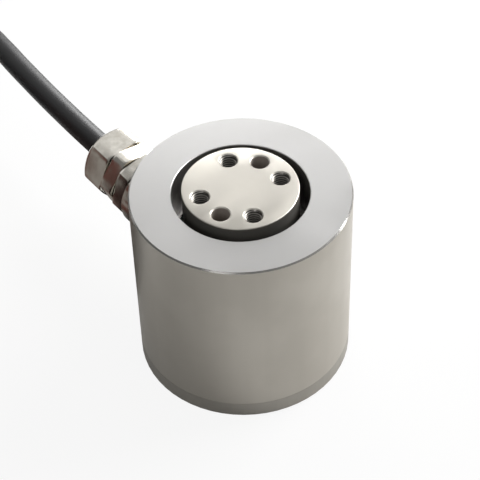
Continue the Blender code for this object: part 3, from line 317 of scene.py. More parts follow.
def makeTurningGroup():  # rings left by the lathe tool, by distance from the body's axis
    inputs = (("Pitch", "value", 0.0002), ("Wander", "value", 0.3), ("Patches", "value", 90.0))
    group, given, out = startGroup("turningMarks", inputs, (("Height", "value"),))
    where = ownSpot(group)
    values = {0: where, 1: (1.0, 1.0, 0.0)}  # leaves out the height
    flat = addNode(group, "ShaderNodeVectorMath", values, operation="MULTIPLY")
    reach = addNode(group, "ShaderNodeVectorMath", {0: flat.outputs[0]}, operation="LENGTH")
    count = calculate(group, "DIVIDE", reach.outputs["Value"], given.outputs["Pitch"])
    values = {"W": count, "Scale": 1.0, "Detail": 1.0}
    rings = addNode(group, "ShaderNodeTexNoise", values, noise_dimensions="1D")
    slow = noiseAt(group, where, given.outputs["Patches"], 1.0)
    uneven = calculate(group, "MULTIPLY", slow, given.outputs["Wander"])
    height = calculate(group, "ADD", rings.outputs["Fac"], uneven)
    group.links.new(height, out.inputs["Height"])
    return group


def makeStreakGroup():  # faint upright bands on a turned wall
    inputs = (
        ("Bands", "value", 5.0),
        ("Rise", "value", 1.5),
        ("Low", "value", 0.35),
        ("High", "value", 0.65),
    )
    group, given, out = startGroup("uprightStreaks", inputs, (("Mask", "value"),))
    parts = addNode(group, "ShaderNodeSeparateXYZ", {0: ownSpot(group)})
    angle = calculate(group, "ARCTAN2", parts.outputs[1], parts.outputs[0])
    values = {
        0: calculate(group, "COSINE", angle),
        1: calculate(group, "SINE", angle),
        2: calculate(group, "MULTIPLY", parts.outputs[2], given.outputs["Rise"]),
    }
    spot = addNode(group, "ShaderNodeCombineXYZ", values).outputs[0]
    noise = noiseAt(group, spot, given.outputs["Bands"], 4.0)
    mask = remap(group, noise, given.outputs["Low"], given.outputs["High"])
    group.links.new(mask, out.inputs["Mask"])
    return group


effects = {
    "mottle": makeMottleGroup(),
    "grain": makeGrainGroup(),
    "turning": makeTurningGroup(),
    "streaks": makeStreakGroup(),
}


def useEffect(tree, name, values):
    return addNode(tree, "ShaderNodeGroup", values, node_tree=effects[name])


# Finishes: one for each material slot, from the values below
finishes = {
    "housing_metal": {
        "colour": (0.50, 0.473, 0.425),
        "tint": (0.425, 0.399, 0.356),
        "mottleScale": 38.0,
        "mottle": 0.35,
        "metallic": 0.88,
        "roughness": (0.40, 0.47),
        "grainScale": 5200.0,
        "bump": 0.05,
        "streaks": (5.0, 0.22),
    },
    "ring_top": {
        "colour": (0.572, 0.567, 0.559),
        "tint": (0.519, 0.515, 0.509),
        "mottleScale": 45.0,
        "mottle": 0.35,
        "metallic": 0.88,
        "roughness": (0.36, 0.42),
        "grainScale": 4200.0,
        "bump": 0.035,
        "turning": 0.00016,
    },
    "platform_metal": {
        "colour": (0.655, 0.627, 0.57),
        "tint": (0.598, 0.57, 0.508),
        "mottleScale": 70.0,
        "mottle": 0.45,
        "metallic": 0.85,
        "roughness": (0.36, 0.44),
        "grainScale": 4600.0,
        "bump": 0.04,
        "turning": 0.00012,
    },
    "edge_metal": {
        "colour": (0.55, 0.54, 0.52),
        "tint": (0.45, 0.44, 0.42),
        "mottleScale": 200.0,
        "mottle": 0.4,
        "metallic": 1.0,
        "roughness": (0.16, 0.24),
        "grainScale": 3000.0,
        "bump": 0.03,
    },
    # Painted shade: the housing's mouth wall in the gap, darker than the housing's own metal
    "bore_wall": {
        "colour": (0.34, 0.33, 0.31),
        "tint": (0.20, 0.19, 0.18),
        "mottleScale": 110.0,
        "mottle": 0.7,
        "metallic": 0.8,
        "roughness": (0.30, 0.42),
        "grainScale": 3000.0,
        "bump": 0.05,
        "turning": 0.0003,
    },
    # Painted shade: the disc's side in the gap is the disc's own metal, made darker and less
    # metallic than its top
    "platform_wall": {
        "colour": (0.20, 0.19, 0.175),
        "tint": (0.15, 0.144, 0.132),
        "mottleScale": 160.0,
        "mottle": 0.6,
        "metallic": 0.4,
        "roughness": (0.34, 0.44),
        "grainScale": 3000.0,
        "bump": 0.05,
        "turning": 0.0003,
    },
    "shaded_bore": {
        "colour": (0.10, 0.096, 0.09),
        "tint": (0.07, 0.067, 0.063),
        "mottleScale": 160.0,
        "mottle": 0.6,
        "metallic": 0.7,
        "roughness": (0.30, 0.40),
        "grainScale": 3000.0,
        "bump": 0.05,
    },
    # Painted reflection: the dowel holes' walls are brown and hardly metallic, standing in for
    # brown surroundings reflected in them
    "dowel_bore": {
        "colour": (0.40, 0.36, 0.33),
        "tint": (0.32, 0.285, 0.26),
        "mottleScale": 300.0,
        "mottle": 0.6,
        "metallic": 0.15,
        "roughness": (0.42, 0.52),
        "grainScale": 3000.0,
        "bump": 0.04,
    },
    "thread_metal": {
        "colour": (0.42, 0.40, 0.37),
        "tint": (0.30, 0.285, 0.26),
        "mottleScale": 500.0,
        "mottle": 0.7,
        "metallic": 0.8,
        "roughness": (0.34, 0.46),
        "grainScale": 6000.0,
        "bump": 0.04,
    },
    # Darker than the housing: partly the base plate's own finish, partly painted shade standing in
    # for the darker floor reflected near the bottom
    "base_metal": {
        "colour": (0.40, 0.38, 0.345),
        "tint": (0.34, 0.32, 0.29),
        "mottleScale": 42.0,
        "mottle": 0.4,
        "metallic": 0.88,
        "roughness": (0.42, 0.5),
        "grainScale": 5200.0,
        "bump": 0.05,
        "streaks": (5.0, 0.2),
    },
    "element_metal": {
        "colour": (0.62, 0.61, 0.60),
        "tint": (0.50, 0.49, 0.48),
        "mottleScale": 120.0,
        "mottle": 0.5,
        "metallic": 0.95,
        "roughness": (0.22, 0.36),
        "grainScale": 2600.0,
        "bump": 0.05,
        "turning": 0.00035,
    },
    "nickel": {
        "colour": (0.74, 0.715, 0.655),
        "tint": (0.60, 0.565, 0.50),
        "mottleScale": 190.0,
        "mottle": 0.6,
        "metallic": 1.0,
        "roughness": (0.15, 0.24),
        "grainScale": 3000.0,
        "bump": 0.04,
        "waves": (110.0, 0.20),
    },
    "screw_steel": {
        "colour": (0.16, 0.16, 0.165),
        "tint": (0.10, 0.10, 0.105),
        "mottleScale": 400.0,
        "mottle": 0.6,
        "metallic": 0.95,
        "roughness": (0.3, 0.45),
        "grainScale": 4000.0,
        "bump": 0.05,
    },
    "black_rubber": {
        "colour": (0.018, 0.018, 0.018),
        "tint": (0.030, 0.030, 0.031),
        "mottleScale": 260.0,
        "mottle": 0.6,
        "metallic": 0.0,
        "roughness": (0.52, 0.68),
        "grainScale": 3500.0,
        "bump": 0.08,
    },
    "clamp_plastic": {
        "colour": (0.05, 0.05, 0.05),
        "tint": (0.035, 0.035, 0.036),
        "mottleScale": 300.0,
        "mottle": 0.5,
        "metallic": 0.0,
        "roughness": (0.4, 0.5),
        "grainScale": 3000.0,
        "bump": 0.05,
    },
    "cable_jacket": {
        "colour": (0.0045, 0.0045, 0.0052),
        "tint": (0.008, 0.008, 0.0092),
        "mottleScale": 150.0,
        "mottle": 0.6,
        "metallic": 0.0,
        "specular": 0.54,
        "roughness": (0.47, 0.48),
        "grainScale": 2600.0,
        "bump": 0.003,
    },
    "gauge_film": {
        "colour": (0.55, 0.33, 0.12),
        "tint": (0.42, 0.23, 0.07),
        "mottleScale": 800.0,
        "mottle": 0.5,
        "metallic": 0.0,
        "roughness": (0.3, 0.45),
        "grainScale": 9000.0,
        "bump": 0.05,
    },
    "board_green": {
        "colour": (0.035, 0.16, 0.07),
        "tint": (0.06, 0.24, 0.11),
        "mottleScale": 600.0,
        "mottle": 0.6,
        "metallic": 0.0,
        "roughness": (0.3, 0.42),
        "grainScale": 2400.0,
        "bump": 0.08,
    },
    "tie_plastic": {
        "colour": (0.030, 0.030, 0.031),
        "tint": (0.045, 0.045, 0.046),
        "mottleScale": 260.0,
        "mottle": 0.5,
        "metallic": 0.0,
        "roughness": (0.42, 0.55),
        "grainScale": 3200.0,
        "bump": 0.08,
    },
    "tinned_copper": {
        "colour": (0.62, 0.60, 0.56),
        "tint": (0.50, 0.47, 0.42),
        "mottleScale": 900.0,
        "mottle": 0.6,
        "metallic": 1.0,
        "roughness": (0.25, 0.4),
        "grainScale": 6000.0,
        "bump": 0.15,
    },
}
coreColours = {
    "core_white": (0.78, 0.78, 0.76),
    "core_brown": (0.20, 0.09, 0.04),
    "core_green": (0.05, 0.30, 0.10),
    "core_yellow": (0.80, 0.60, 0.05),
    "core_grey": (0.30, 0.30, 0.31),
    "core_pink": (0.75, 0.35, 0.42),
    "core_blue": (0.03, 0.12, 0.45),
    "core_red": (0.55, 0.03, 0.03),
}
coreShade = 0.82
for coreName, coreColour in coreColours.items():
    finishes[coreName] = {
        "colour": coreColour,
        "tint": tuple(coreShade * part for part in coreColour),
        "mottleScale": 500.0,
        "mottle": 0.5,
        "metallic": 0.0,
        "roughness": (0.34, 0.46),
        "grainScale": 4000.0,
        "bump": 0.05,
    }
reliefHeights = {"grain": 0.0002, "waves": 0.001}


def makeFinish(name, look):
    material = bpy.data.materials.new(name)
    material.use_nodes = True
    tree = material.node_tree
    shader = tree.nodes["Principled BSDF"]
    values = {"Colour": look["colour"], "Tint": look["tint"]}
    values.update({"Scale": look["mottleScale"], "Amount": look["mottle"]})
    mottle = useEffect(tree, "mottle", values)
    colour = mottle.outputs["Colour"]
    if "streaks" in look:
        bands, amount = look["streaks"]
        streaks = useEffect(tree, "streaks", {"Bands": bands})
        share = calculate(tree, "MULTIPLY", streaks.outputs["Mask"], amount)
        colour = blend(tree, share, colour, look["tint"])
    tree.links.new(colour, shader.inputs["Base Color"])
    rough = remap(tree, mottle.outputs["Mask"], 0.0, 1.0, *look["roughness"])
    tree.links.new(rough, shader.inputs["Roughness"])
    shader.inputs["Metallic"].default_value = look["metallic"]
    shader.inputs["Specular IOR Level"].default_value = look.get("specular", 0.5)
    height = useEffect(tree, "grain", {"Scale": look["grainScale"]}).outputs["Height"]
    if "turning" in look:
        rings = useEffect(tree, "turning", {"Pitch": look["turning"]})
        height = calculate(tree, "ADD", height, rings.outputs["Height"])
    relief = {"Height": height, "Strength": look["bump"], "Distance": reliefHeights["grain"]}
    if "waves" in look:
        scale, strength = look["waves"]
        waves = useEffect(tree, "grain", {"Scale": scale}).outputs["Height"]
        values = {"Height": waves, "Strength": strength, "Distance": reliefHeights["waves"]}
        relief["Normal"] = addNode(tree, "ShaderNodeBump", values).outputs["Normal"]
    bump = addNode(tree, "ShaderNodeBump", relief)
    tree.links.new(bump.outputs["Normal"], shader.inputs["Normal"])
    return material


surfaces = {name: makeFinish(name, look) for name, look in finishes.items()}
print("finishes")


# Every CAD node that stays takes the finish of its slot
recordSlots = {row["node"]: row["material_slot"] for row in frame["record"]["subparts"]}
for nodeName, nodeObject in frame["nodes"].items():
    nodeObject.data.materials.clear()
    nodeObject.data.materials.append(surfaces[recordSlots[nodeName]])


# Shapes
onAxis = 0.0000001  # a radius below this is a point on the axis
sharpAngles = {"turned": 32.0, "hexagon": 40.0, "thread": 25.0}


def meshFrom(name, shape, materials, carried=None):
    bmesh.ops.recalc_face_normals(shape, faces=shape.faces)
    mesh = bpy.data.meshes.new(name)
    shape.to_mesh(mesh)
    shape.free()
    if carried is not None:
        mesh.transform(carried)
    for slot in materials:
        mesh.materials.append(surfaces[slot])
    return mesh


def smoothed(mesh, kind):
    mesh.shade_smooth()
    mesh.set_sharp_from_angle(angle=radians(sharpAngles[kind]))
    return mesh


def finishMesh(name, shape, materials, carried=None, kind="turned"):
    piece = riding(name, smoothed(meshFrom(name, shape, materials, carried), kind))
    return piece


def lathe(stations, sides, reachAt=None):
    # Each station is (radius, height, finish of the run that starts there).
    # The profile is a closed loop unless it starts on the axis.
    shape = bmesh.new()
    rings = []
    for radius, height, _ in stations:
        if radius < onAxis:
            rings.append([shape.verts.new((0.0, 0.0, height))] * sides)
            continue
        ring = []
        for i in range(sides):
            angle = 2 * pi * i / sides
            reach = radius if reachAt is None else reachAt(radius, angle)
            ring.append(shape.verts.new((reach * cos(angle), reach * sin(angle), height)))
        rings.append(ring)
    pairs = list(zip(rings, rings[1:], stations))
    if stations[0][0] > 0.0:
        pairs.append((rings[-1], rings[0], stations[-1]))
    for above, below, station in pairs:
        for i in range(sides):
            j = (i + 1) % sides
            corners = []
            for vert in (above[i], above[j], below[j], below[i]):
                if vert not in corners:
                    corners.append(vert)
            if len(corners) > 2:
                shape.faces.new(corners).material_index = station[2]
    return shape


def withFinish(spots, finish=0):
    return [(radius, height, finish) for radius, height in spots]


def rounding(fromPoint, corner, toPoint, radius, steps=3):
    # The spots of a small round at a profile's square corner.
    first = (Vector(fromPoint) - Vector(corner)).normalized()
    second = (Vector(toPoint) - Vector(corner)).normalized()
    centre = Vector(corner) + (first + second) * radius
    found = []
    for i in range(steps + 1):
        angle = pi / 2 * i / steps
        found.append(centre - second * radius * cos(angle) - first * radius * sin(angle))
    return found


def cutWith(piece, cutters):
    for cutter in cutters:
        modifier = piece.modifiers.new(cutter.name, "BOOLEAN")
        modifier.operation = "DIFFERENCE"
        modifier.solver = "EXACT"
        modifier.object = cutter
    bpy.context.view_layer.update()
    graph = bpy.context.evaluated_depsgraph_get()
    mesh = bpy.data.meshes.new_from_object(piece.evaluated_get(graph))
    piece.modifiers.clear()
    piece.data = smoothed(mesh, "turned")
    for cutter in cutters:
        bpy.data.objects.remove(cutter, do_unlink=True)


def cutterFrom(name, stations, sides, materials, carried):
    return linked(name, meshFrom(name, lathe(stations, sides), materials, carried))


# Housing and platform: their overall sizes come from the frame
housing = {
    "edge": 0.0004,
    "mouthEdge": 0.00018,
    "lowerEdge": 0.00006,
    "mouthRadius": 0.0186,
    "cavityRadius": 0.0235,
    "seatHeight": 0.0435,
    "sides": 180,
    "shankSeat": {"radius": 0.0109, "sink": 0.0003, "over": 0.02, "sides": 64},
    "shankHole": {"radius": 0.0063, "depth": 0.012, "over": 0.001, "sides": 48},
    "joint": {"height": 0.00498, "rise": 0.00024, "inner": 0.0289, "outer": 0.02995},
}
gland = {"angle": radians(110.5), "height": 0.0244}
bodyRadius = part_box("housing")[1].x
glandExit = (bodyRadius * cos(gland["angle"]), bodyRadius * sin(gland["angle"]), gland["height"])
glandFrame = Matrix.Translation(glandExit) @ Matrix.Rotation(gland["angle"], 4, "Z")
glandFrame = glandFrame @ Matrix.Rotation(pi / 2, 4, "Y")


def plug(radius, high, low, finish):  # a plain round cutter
    return withFinish([(0.0, high), (radius, high), (radius, low), (0.0, low)], finish)


def makeHousing():
    low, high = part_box("housing")
    bottom, top, outer = low.z, high.z, high.x
    mouth, cavity, seat = housing["mouthRadius"], housing["cavityRadius"], housing["seatHeight"]
    edge, mouthEdge, lower = housing["edge"], housing["mouthEdge"], housing["lowerEdge"]
    # The mouth's wall takes bore_wall and the cavity shaded_bore: both painted shade
    stations = [
        (mouth + mouthEdge, top, 0),
        (outer - edge, top, 4),
        (outer, top - edge, 1),
        (outer, bottom + lower, 1),
        (outer - lower, bottom, 1),
        (cavity, bottom, 3),
        (cavity, seat, 3),
        (mouth, seat, 2),
        (mouth, top - mouthEdge, 0),
    ]
    materials = ["ring_top", "housing_metal", "bore_wall", "shaded_bore", "edge_metal"]
    piece = finishMesh("housing_shell", lathe(stations, housing["sides"]), materials)
    cut = housing["shankSeat"]
    deep = -(outer - sqrt(outer**2 - cut["radius"] ** 2)) - cut["sink"]
    stations = plug(cut["radius"], cut["over"], deep, 1)
    seatCut = cutterFrom("seat_cut", stations, cut["sides"], materials, glandFrame)
    cut = housing["shankHole"]
    stations = plug(cut["radius"], cut["over"], -cut["depth"], 3)
    holeCut = cutterFrom("hole_cut", stations, cut["sides"], materials, glandFrame)
    cutWith(piece, [seatCut, holeCut])
    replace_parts(piece, "housing")
    joint = housing["joint"]
    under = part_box("base_plate")[0].z + joint["height"]
    over = under + joint["rise"]
    inner, outer = joint["inner"], joint["outer"]
    bead = withFinish([(inner, over), (outer, over), (outer, under), (inner, under)])
    finishMesh("joint_bead", lathe(bead, housing["sides"]), ["base_metal"])


platform = {
    "edge": 0.00020,
    "edgeFade": 1.6,  # times the edge, down the side
    "innerRing": 0.5,
    "holeCircle": 0.0112,
    "holeRadius": 0.0025,
    "holeSides": 48,
    "threadDepth": 0.0100,
    "dowelDepth": 0.0080,
    "mouthEdge": 0.0003,
    "cutOver": 0.001,
    "point": 0.0015,
    "hubRadius": 0.0095,
    "discBottom": 0.0450,
    "sides": 144,
    "dowels": (radians(45.0), radians(225.0)),
    "threads": (0.0, pi / 2, pi, 3 * pi / 2),
}
threadForm = {
    "pitch": 0.0008,
    "crestRadius": 0.00208,
    "rootRadius": 0.00252,
    "crestHalf": 0.00006,
    "rootHalf": 0.00036,
    "steps": 28,
    "leadIn": 0.35,
    "start": 0.00055,
    "shortBy": 1.5,  # pitches, at the hole's end
    "baseCircle": 0.018,
    "baseDepth": 0.0036,
}


def makePlatform():
    low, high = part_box("load_platform")
    top, bottom, outer = high.z, low.z, high.x
    edge, disc, hub = platform["edge"], platform["discBottom"], platform["hubRadius"]
    face = [(0.0, top), (outer * platform["innerRing"], top)]
    face += rounding((0.0, top), (outer, top), (outer, disc), edge)
    # The side takes platform_wall, painted shade
    side = [(outer, top - edge * platform["edgeFade"]), (outer, disc + edge), (outer - edge, disc)]
    side += [(hub, disc), (hub, bottom), (0.0, bottom)]
    shape = lathe(withFinish(face) + withFinish(side, 1), platform["sides"])
    materials = ["platform_metal", "platform_wall", "dowel_bore", "shaded_bore"]
    piece = finishMesh("loading_disc", shape, materials)
    radius, mouth = platform["holeRadius"], platform["mouthEdge"]
    reach, over = platform["holeCircle"], platform["cutOver"]
    cutters = []
    # Threaded holes' walls take painted shade, dowel holes' walls a painted brown reflection
    for kind, angles, depth, finish in (
        ("thread", platform["threads"], platform["threadDepth"], 3),
        ("dowel", platform["dowels"], platform["dowelDepth"], 2),
    ):
        bore = withFinish([(0.0, over), (radius + mouth, over), (radius + mouth, 0.0)])
        bore += withFinish([(radius, -mouth), (radius, -depth)], finish)
        bore += withFinish([(0.0, -depth - platform["point"])], finish)
        for number, angle in enumerate(angles):
            place = Matrix.Translation((reach * cos(angle), reach * sin(angle), top))
            name = f"{kind}_{number}"
            cutters.append(cutterFrom(name, bore, platform["holeSides"], materials, place))
    cutWith(piece, cutters)
    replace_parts(piece, "load_platform")


def threadRidge(name, centre, top, depth, down=True):
    # One helical ridge with a flat crest that lines a drilled hole.
    form = threadForm
    root, crest = form["rootRadius"], form["crestRadius"]
    wide, narrow = form["rootHalf"], form["crestHalf"]
    half, halfUp = (root + crest) / 2, (wide + narrow) / 2
    section = ((root, -wide), (half, -halfUp), (crest, -narrow))
    section += ((crest, narrow), (half, halfUp), (root, wide))
    sides = len(section)
    shape = bmesh.new()
    rings = []
    for i in range(ceil(depth / form["pitch"] * form["steps"]) + 1):
        angle = 2 * pi * i / form["steps"]
        fall = form["pitch"] * i / form["steps"]
        height = top - fall if down else top + fall
        grown = min(1.0, i / form["steps"] / form["leadIn"])
        ring = []
        for radius, up in section:
            reach = root - (root - radius) * grown
            spot = (centre[0] + reach * cos(angle), centre[1] + reach * sin(angle), height + up)
            ring.append(shape.verts.new(spot))
        rings.append(ring)
    for before, after in zip(rings, rings[1:]):
        for k in range(sides):
            following = (k + 1) % sides
            corners = (before[k], before[following], after[following], after[k])
            shape.faces.new(corners).material_index = 0 if k in (1, 2, 3) else 1  # root strips are painted shade (shaded_bore)
    shape.faces.new(rings[0])
    shape.faces.new(rings[-1])
    finishMesh(name, shape, ["thread_metal", "shaded_bore"], kind="thread")


def makeThreads():
    form = threadForm
    start, baseDepth = form["start"], form["baseDepth"]
    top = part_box("load_platform")[1].z - start
    depth = platform["threadDepth"] - form["shortBy"] * form["pitch"]
    for number, angle in enumerate(platform["threads"], 1):
        circles = (platform["holeCircle"], form["baseCircle"])
        upper, under = ((reach * cos(angle), reach * sin(angle)) for reach in circles)
        threadRidge(f"platform_thread_{number}", upper, top, depth)
        threadRidge(f"base_thread_{number}", under, start, baseDepth, down=False)


makeHousing()
makePlatform()
makeThreads()
print("housing, platform and threads")


# Cable gland: hexagons with soft, polished corners. Heights run outward from the body's wall
glandForm = {
    "flats": 0.0095,
    "softness": 0.00100,
    "tipLoss": 0.22,
    "bevel": ((0.0, 0.0008), (0.0006, 0.0003), (0.0011, 0.00008), (0.0022, 0.0)),
    "adapterCorner": radians(19.5),
    "bodyCorner": radians(37.5),
    "nutCorner": radians(22.5),
    "sides": 240,
    "roundSides": 96,
    "play": 0.0003,
    "seam": 0.0001,
    "shank": (0.0002, 0.0149),
    "shankRadius": 0.0106,
    "shankEdge": 0.0004,
    "neckRadius": 0.0092,
    "spigotRadius": 0.0060,
    "spigotDepth": 0.0062,
    "adapterHex": (0.0153, 0.0200),
    "bodyHex": (0.0203, 0.0257),
    "bodyOverlap": 0.001,
    "bodyTop": 0.0325,
    "threadRadius": 0.0080,
    "sleeveWall": 0.0014,
    "sleeveEdge": 0.0003,
    "sleeveDepth": 0.0105,
    "nut": (0.0260, 0.0379),
    "nutBevel": 0.0009,
    "domeLength": 0.0046,
    "domeTuck": 0.0020,
    "domeFullness": 0.63,
    "domeSteps": 14,
    "mouthRim": 0.0056,
    "rimDrop": 0.0002,
    "rimFlat": 0.0003,
    "mouth": 0.0045,
    "mouthEdge": 0.0005,
    "mouthDepth": 0.0010,
    "skirtTop": 0.0342,
    "cableBore": 0.0046,
}
hexTip = glandForm["flats"] / cos(pi / 6)
hexWide = hexTip + glandForm["softness"]


def softMin(a, b, softness):
    share = max(softness - abs(a - b), 0.0) / softness
    return min(a, b) - share * share * softness / 4


def hexReach(corner):
    softness = glandForm["softness"]
    tip = hexTip - softness * glandForm["tipLoss"]

    def reachAt(radius, angle):
        flat = glandForm["flats"] / cos((angle - corner) % (pi / 3) - pi / 6)
        return softMin(radius, softMin(flat, tip, softness), softness)

    return reachAt


def hexStations(low, high, bore):
    # A hexagon's outer run from its upper face to its lower one, with corners turned back.
    upper = [(hexWide - inward, high - along) for inward, along in glandForm["bevel"]]
    lower = [(hexWide - inward, low + along) for inward, along in glandForm["bevel"]]
    middle = (hexWide, (high + low) / 2)
    return [(bore, high), *reversed(upper), middle, *lower, (bore, low)]


def hexPiece(name, stations, corner):
    shape = lathe(withFinish(stations), glandForm["sides"], hexReach(corner))
    return finishMesh(name, shape, ["nickel"], glandFrame, "hexagon")


def roundPiece(name, stations):
    shape = lathe(withFinish(stations), glandForm["roundSides"])
    return finishMesh(name, shape, ["nickel"], glandFrame)


def makeAdapter():
    form = glandForm
    low, high = form["adapterHex"]
    threadBore = form["threadRadius"] + form["play"]
    hexPiece("adapter_hexagon", hexStations(low, high, threadBore), form["adapterCorner"])
    bottom, top = form["shank"]
    radius, neck, spigot = form["shankRadius"], form["neckRadius"], form["spigotRadius"]
    bore, neckTop, deep = form["cableBore"], low - form["seam"], -form["spigotDepth"]
    stations = [(bore, neckTop), (neck, neckTop), (neck, top)]
    stations += rounding((bore, top), (radius, top), (radius, bottom), form["shankEdge"])
    stations += [(radius, bottom), (spigot, bottom), (spigot, deep), (bore, deep)]
    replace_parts(roundPiece("adapter_shank", stations), "gland_adapter")


def makeGlandBody():
    form = glandForm
    low, high = form["bodyHex"]
    radius, wall, edge = form["threadRadius"], form["sleeveWall"], form["sleeveEdge"]
    stations = hexStations(low, high, radius - form["bodyOverlap"])
    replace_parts(hexPiece("body_hexagon", stations, form["bodyCorner"]), "gland_body")
    top, deep = form["bodyTop"], low - form["sleeveDepth"]
    stations = [(radius - wall, top), (radius - edge, top), (radius, top - edge)]
    stations += [(radius, deep), (radius - wall, deep)]
    roundPiece("body_sleeve", stations)


def makeNut():
    form = glandForm
    low, high = form["nut"]
    mouth, rimRadius = form["mouth"], form["mouthRim"]
    domeLow = high - form["domeLength"]
    swell = (hexTip - form["domeTuck"], domeLow + form["domeFullness"] * form["domeLength"])
    rim = (rimRadius, high - form["rimDrop"])
    shoulder = (hexWide, domeLow)
    stations = [(mouth + form["mouthEdge"], high), (rimRadius - form["rimFlat"], high)]
    for i in range(form["domeSteps"] + 1):
        t = i / form["domeSteps"]
        spot = zip(rim, swell, shoulder)
        stations.append([(1 - t) ** 2 * a + 2 * t * (1 - t) * b + t * t * c for a, b, c in spot])
    socket = form["threadRadius"] + form["play"]
    stations += [(hexWide, (domeLow + low) / 2), (hexWide, low + form["nutBevel"])]
    stations += [(hexWide - inward, low + along) for inward, along in form["bevel"][1:]]
    stations += [(socket, low), (socket, form["skirtTop"])]
    stations += [(mouth, high - form["mouthDepth"]), (mouth, high - form["mouthEdge"])]
    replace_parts(hexPiece("dome_nut", stations, form["nutCorner"]), "gland_nut")


makeAdapter()
makeGlandBody()
makeNut()
print("gland")


# Free end: heat shrink, insulated cores with bare tips and the drain wire
sleeveForm = {
    "play": 0.0003,
    "shoulder": (0.0115, 0.0102),  # where it starts to narrow, from the leads' end
    "waist": (0.0086, 0.0076),
    "innerWaist": 0.0078,
    "fullness": 0.0006,
    "lip": 0.0001,
    "edges": (0.0003, 0.0004),
    "endWall": 0.6,  # shares of the wall left at the ends and at the shoulder
    "shoulderWall": 0.8,
}
leadForm = {
    "ringRadius": 0.0022,
    "ringTurn": radians(11.0),
    "diameter": 0.0013,
    "drainDiameter": 0.0012,
    "smoothness": 6,
    "roundness": 3,
    "spacing": 0.0017,
    "outward": 0.0035,
    "grip": 0.0040,
    "fan": (  # along the coil, and how far each lead has spread there
        (0.0, 0.0),
        (0.0070, 0.35),
        (0.0150, 0.80),
        (0.0230, 1.0),
        (0.0340, 1.0),
        (0.0450, 1.0),
    ),
    "coilTop": 0.0244,
    "clearance": 0.0003,
    "tipDiameter": 0.0009,
    "tipSmoothness": 4,
    "tipTuck": 0.1,
    "strip": 0.0060,
}


def makeShrink():
    form = sleeveForm
    wall, length = shrink["wall"], shrink["length"]
    inner = cable["diameter"] / 2 + form["play"]
    innerNeck = leadForm["ringRadius"] + leadForm["diameter"] / 2 + form["play"]
    outer, neck = inner + wall, innerNeck + wall
    endWall, shoulderWall = wall * form["endWall"], wall * form["shoulderWall"]
    (highShoulder, lowShoulder), (highWaist, lowWaist) = form["shoulder"], form["waist"]
    stations = [
        (inner, length),
        (inner + endWall, length + form["lip"]),
        (outer, length - form["edges"][0]),
        (outer, highShoulder),
        (inner + shoulderWall, lowShoulder),
        (neck + form["fullness"], highWaist),
        (neck, lowWaist),
        (neck, form["edges"][1]),
        (innerNeck + endWall, 0.0),
        (innerNeck, 0.0),
        (innerNeck, form["innerWaist"]),
        (inner, lowShoulder),
    ]
    turn = Matrix.Rotation(shrink["angle"] + pi / 2, 4, "Z") @ Matrix.Rotation(-pi / 2, 4, "Y")
    place = Matrix.Translation(shrinkEnd) @ turn
    shape = lathe(withFinish(stations), shrink["sides"])
    piece = finishMesh("shrunk_sleeve", shape, ["black_rubber"], place)
    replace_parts(piece, "heat_shrink")
    return piece


def drawnLead(name, path, diameter, smoothness, slot):
    piece = drawnTube(name, path, diameter, smoothness, leadForm["roundness"])
    piece.data.materials.append(surfaces[slot])
    return piece


def makeLeads():
    form = leadForm
    inside = shrinkEnd - shrink["along"] * form["grip"]
    fromCentre = (shrinkEnd.x - coil["centre"][0], shrinkEnd.y - coil["centre"][1])
    startAngle, startRadius = atan2(fromCentre[1], fromCentre[0]), hypot(*fromCentre)
    slots = list(coreColours)
    count = len(slots)
    wires = [(0.0, 0.0, count)]  # the drain wire in the middle, the cores in a ring around it
    for i in range(count):
        angle = form["ringTurn"] + 2 * pi * i / count
        wires.append((form["ringRadius"] * cos(angle), form["ringRadius"] * sin(angle), i))
    made = []
    for order, (across, up, number) in enumerate(sorted(wires)):
        bare = number == count
        diameter = form["drainDiameter"] if bare else form["diameter"]
        lying = form["coilTop"] + form["clearance"] + diameter / 2
        spread = (order - (len(wires) - 1) / 2) * form["spacing"] + form["outward"]
        path = [inside + shrink["across"] * across + Vector((0.0, 0.0, up))]
        for reach, share in form["fan"]:
            aside = across + (spread - across) * share
            height = shrink["height"] + up + (lying - shrink["height"] - up) * share
            path.append(onCoil(startRadius + aside, startAngle + reach / startRadius, height))
        if bare:
            wire = drawnLead("drain", path, diameter, form["smoothness"], "tinned_copper")
            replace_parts(wire, "drain_wire")
        else:
            before, end = path[-2:]
            covered = end.lerp(before, form["strip"] / (end - before).length)
            tip = [covered.lerp(before, form["tipTuck"]), covered.lerp(end, 0.5), end]
            name = f"core_tip_{number + 1}"
            drawnLead(name, tip, form["tipDiameter"], form["tipSmoothness"], "tinned_copper")
            path[-1] = covered
            name = f"core_wire_{number + 1}"
            wire = drawnLead(name, path, diameter, form["smoothness"], slots[number])
            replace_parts(wire, f"flying_lead_{number + 1}")
        made.append(wire)
    return made


cablePiece.data.materials.append(surfaces["cable_jacket"])
shrunkSleeve = makeShrink()
leadPieces = makeLeads()
cordPieces = [shrunkSleeve, *leadPieces, "cable_tie_1", "cable_tie_2", "adapter_seal"]
cordPieces += ["gland_grommet", "gland_clamp", "adapter_hexagon", "adapter_shank"]
cordPieces += ["body_hexagon", "body_sleeve", "dome_nut", "cable_inside"]
print("free end")


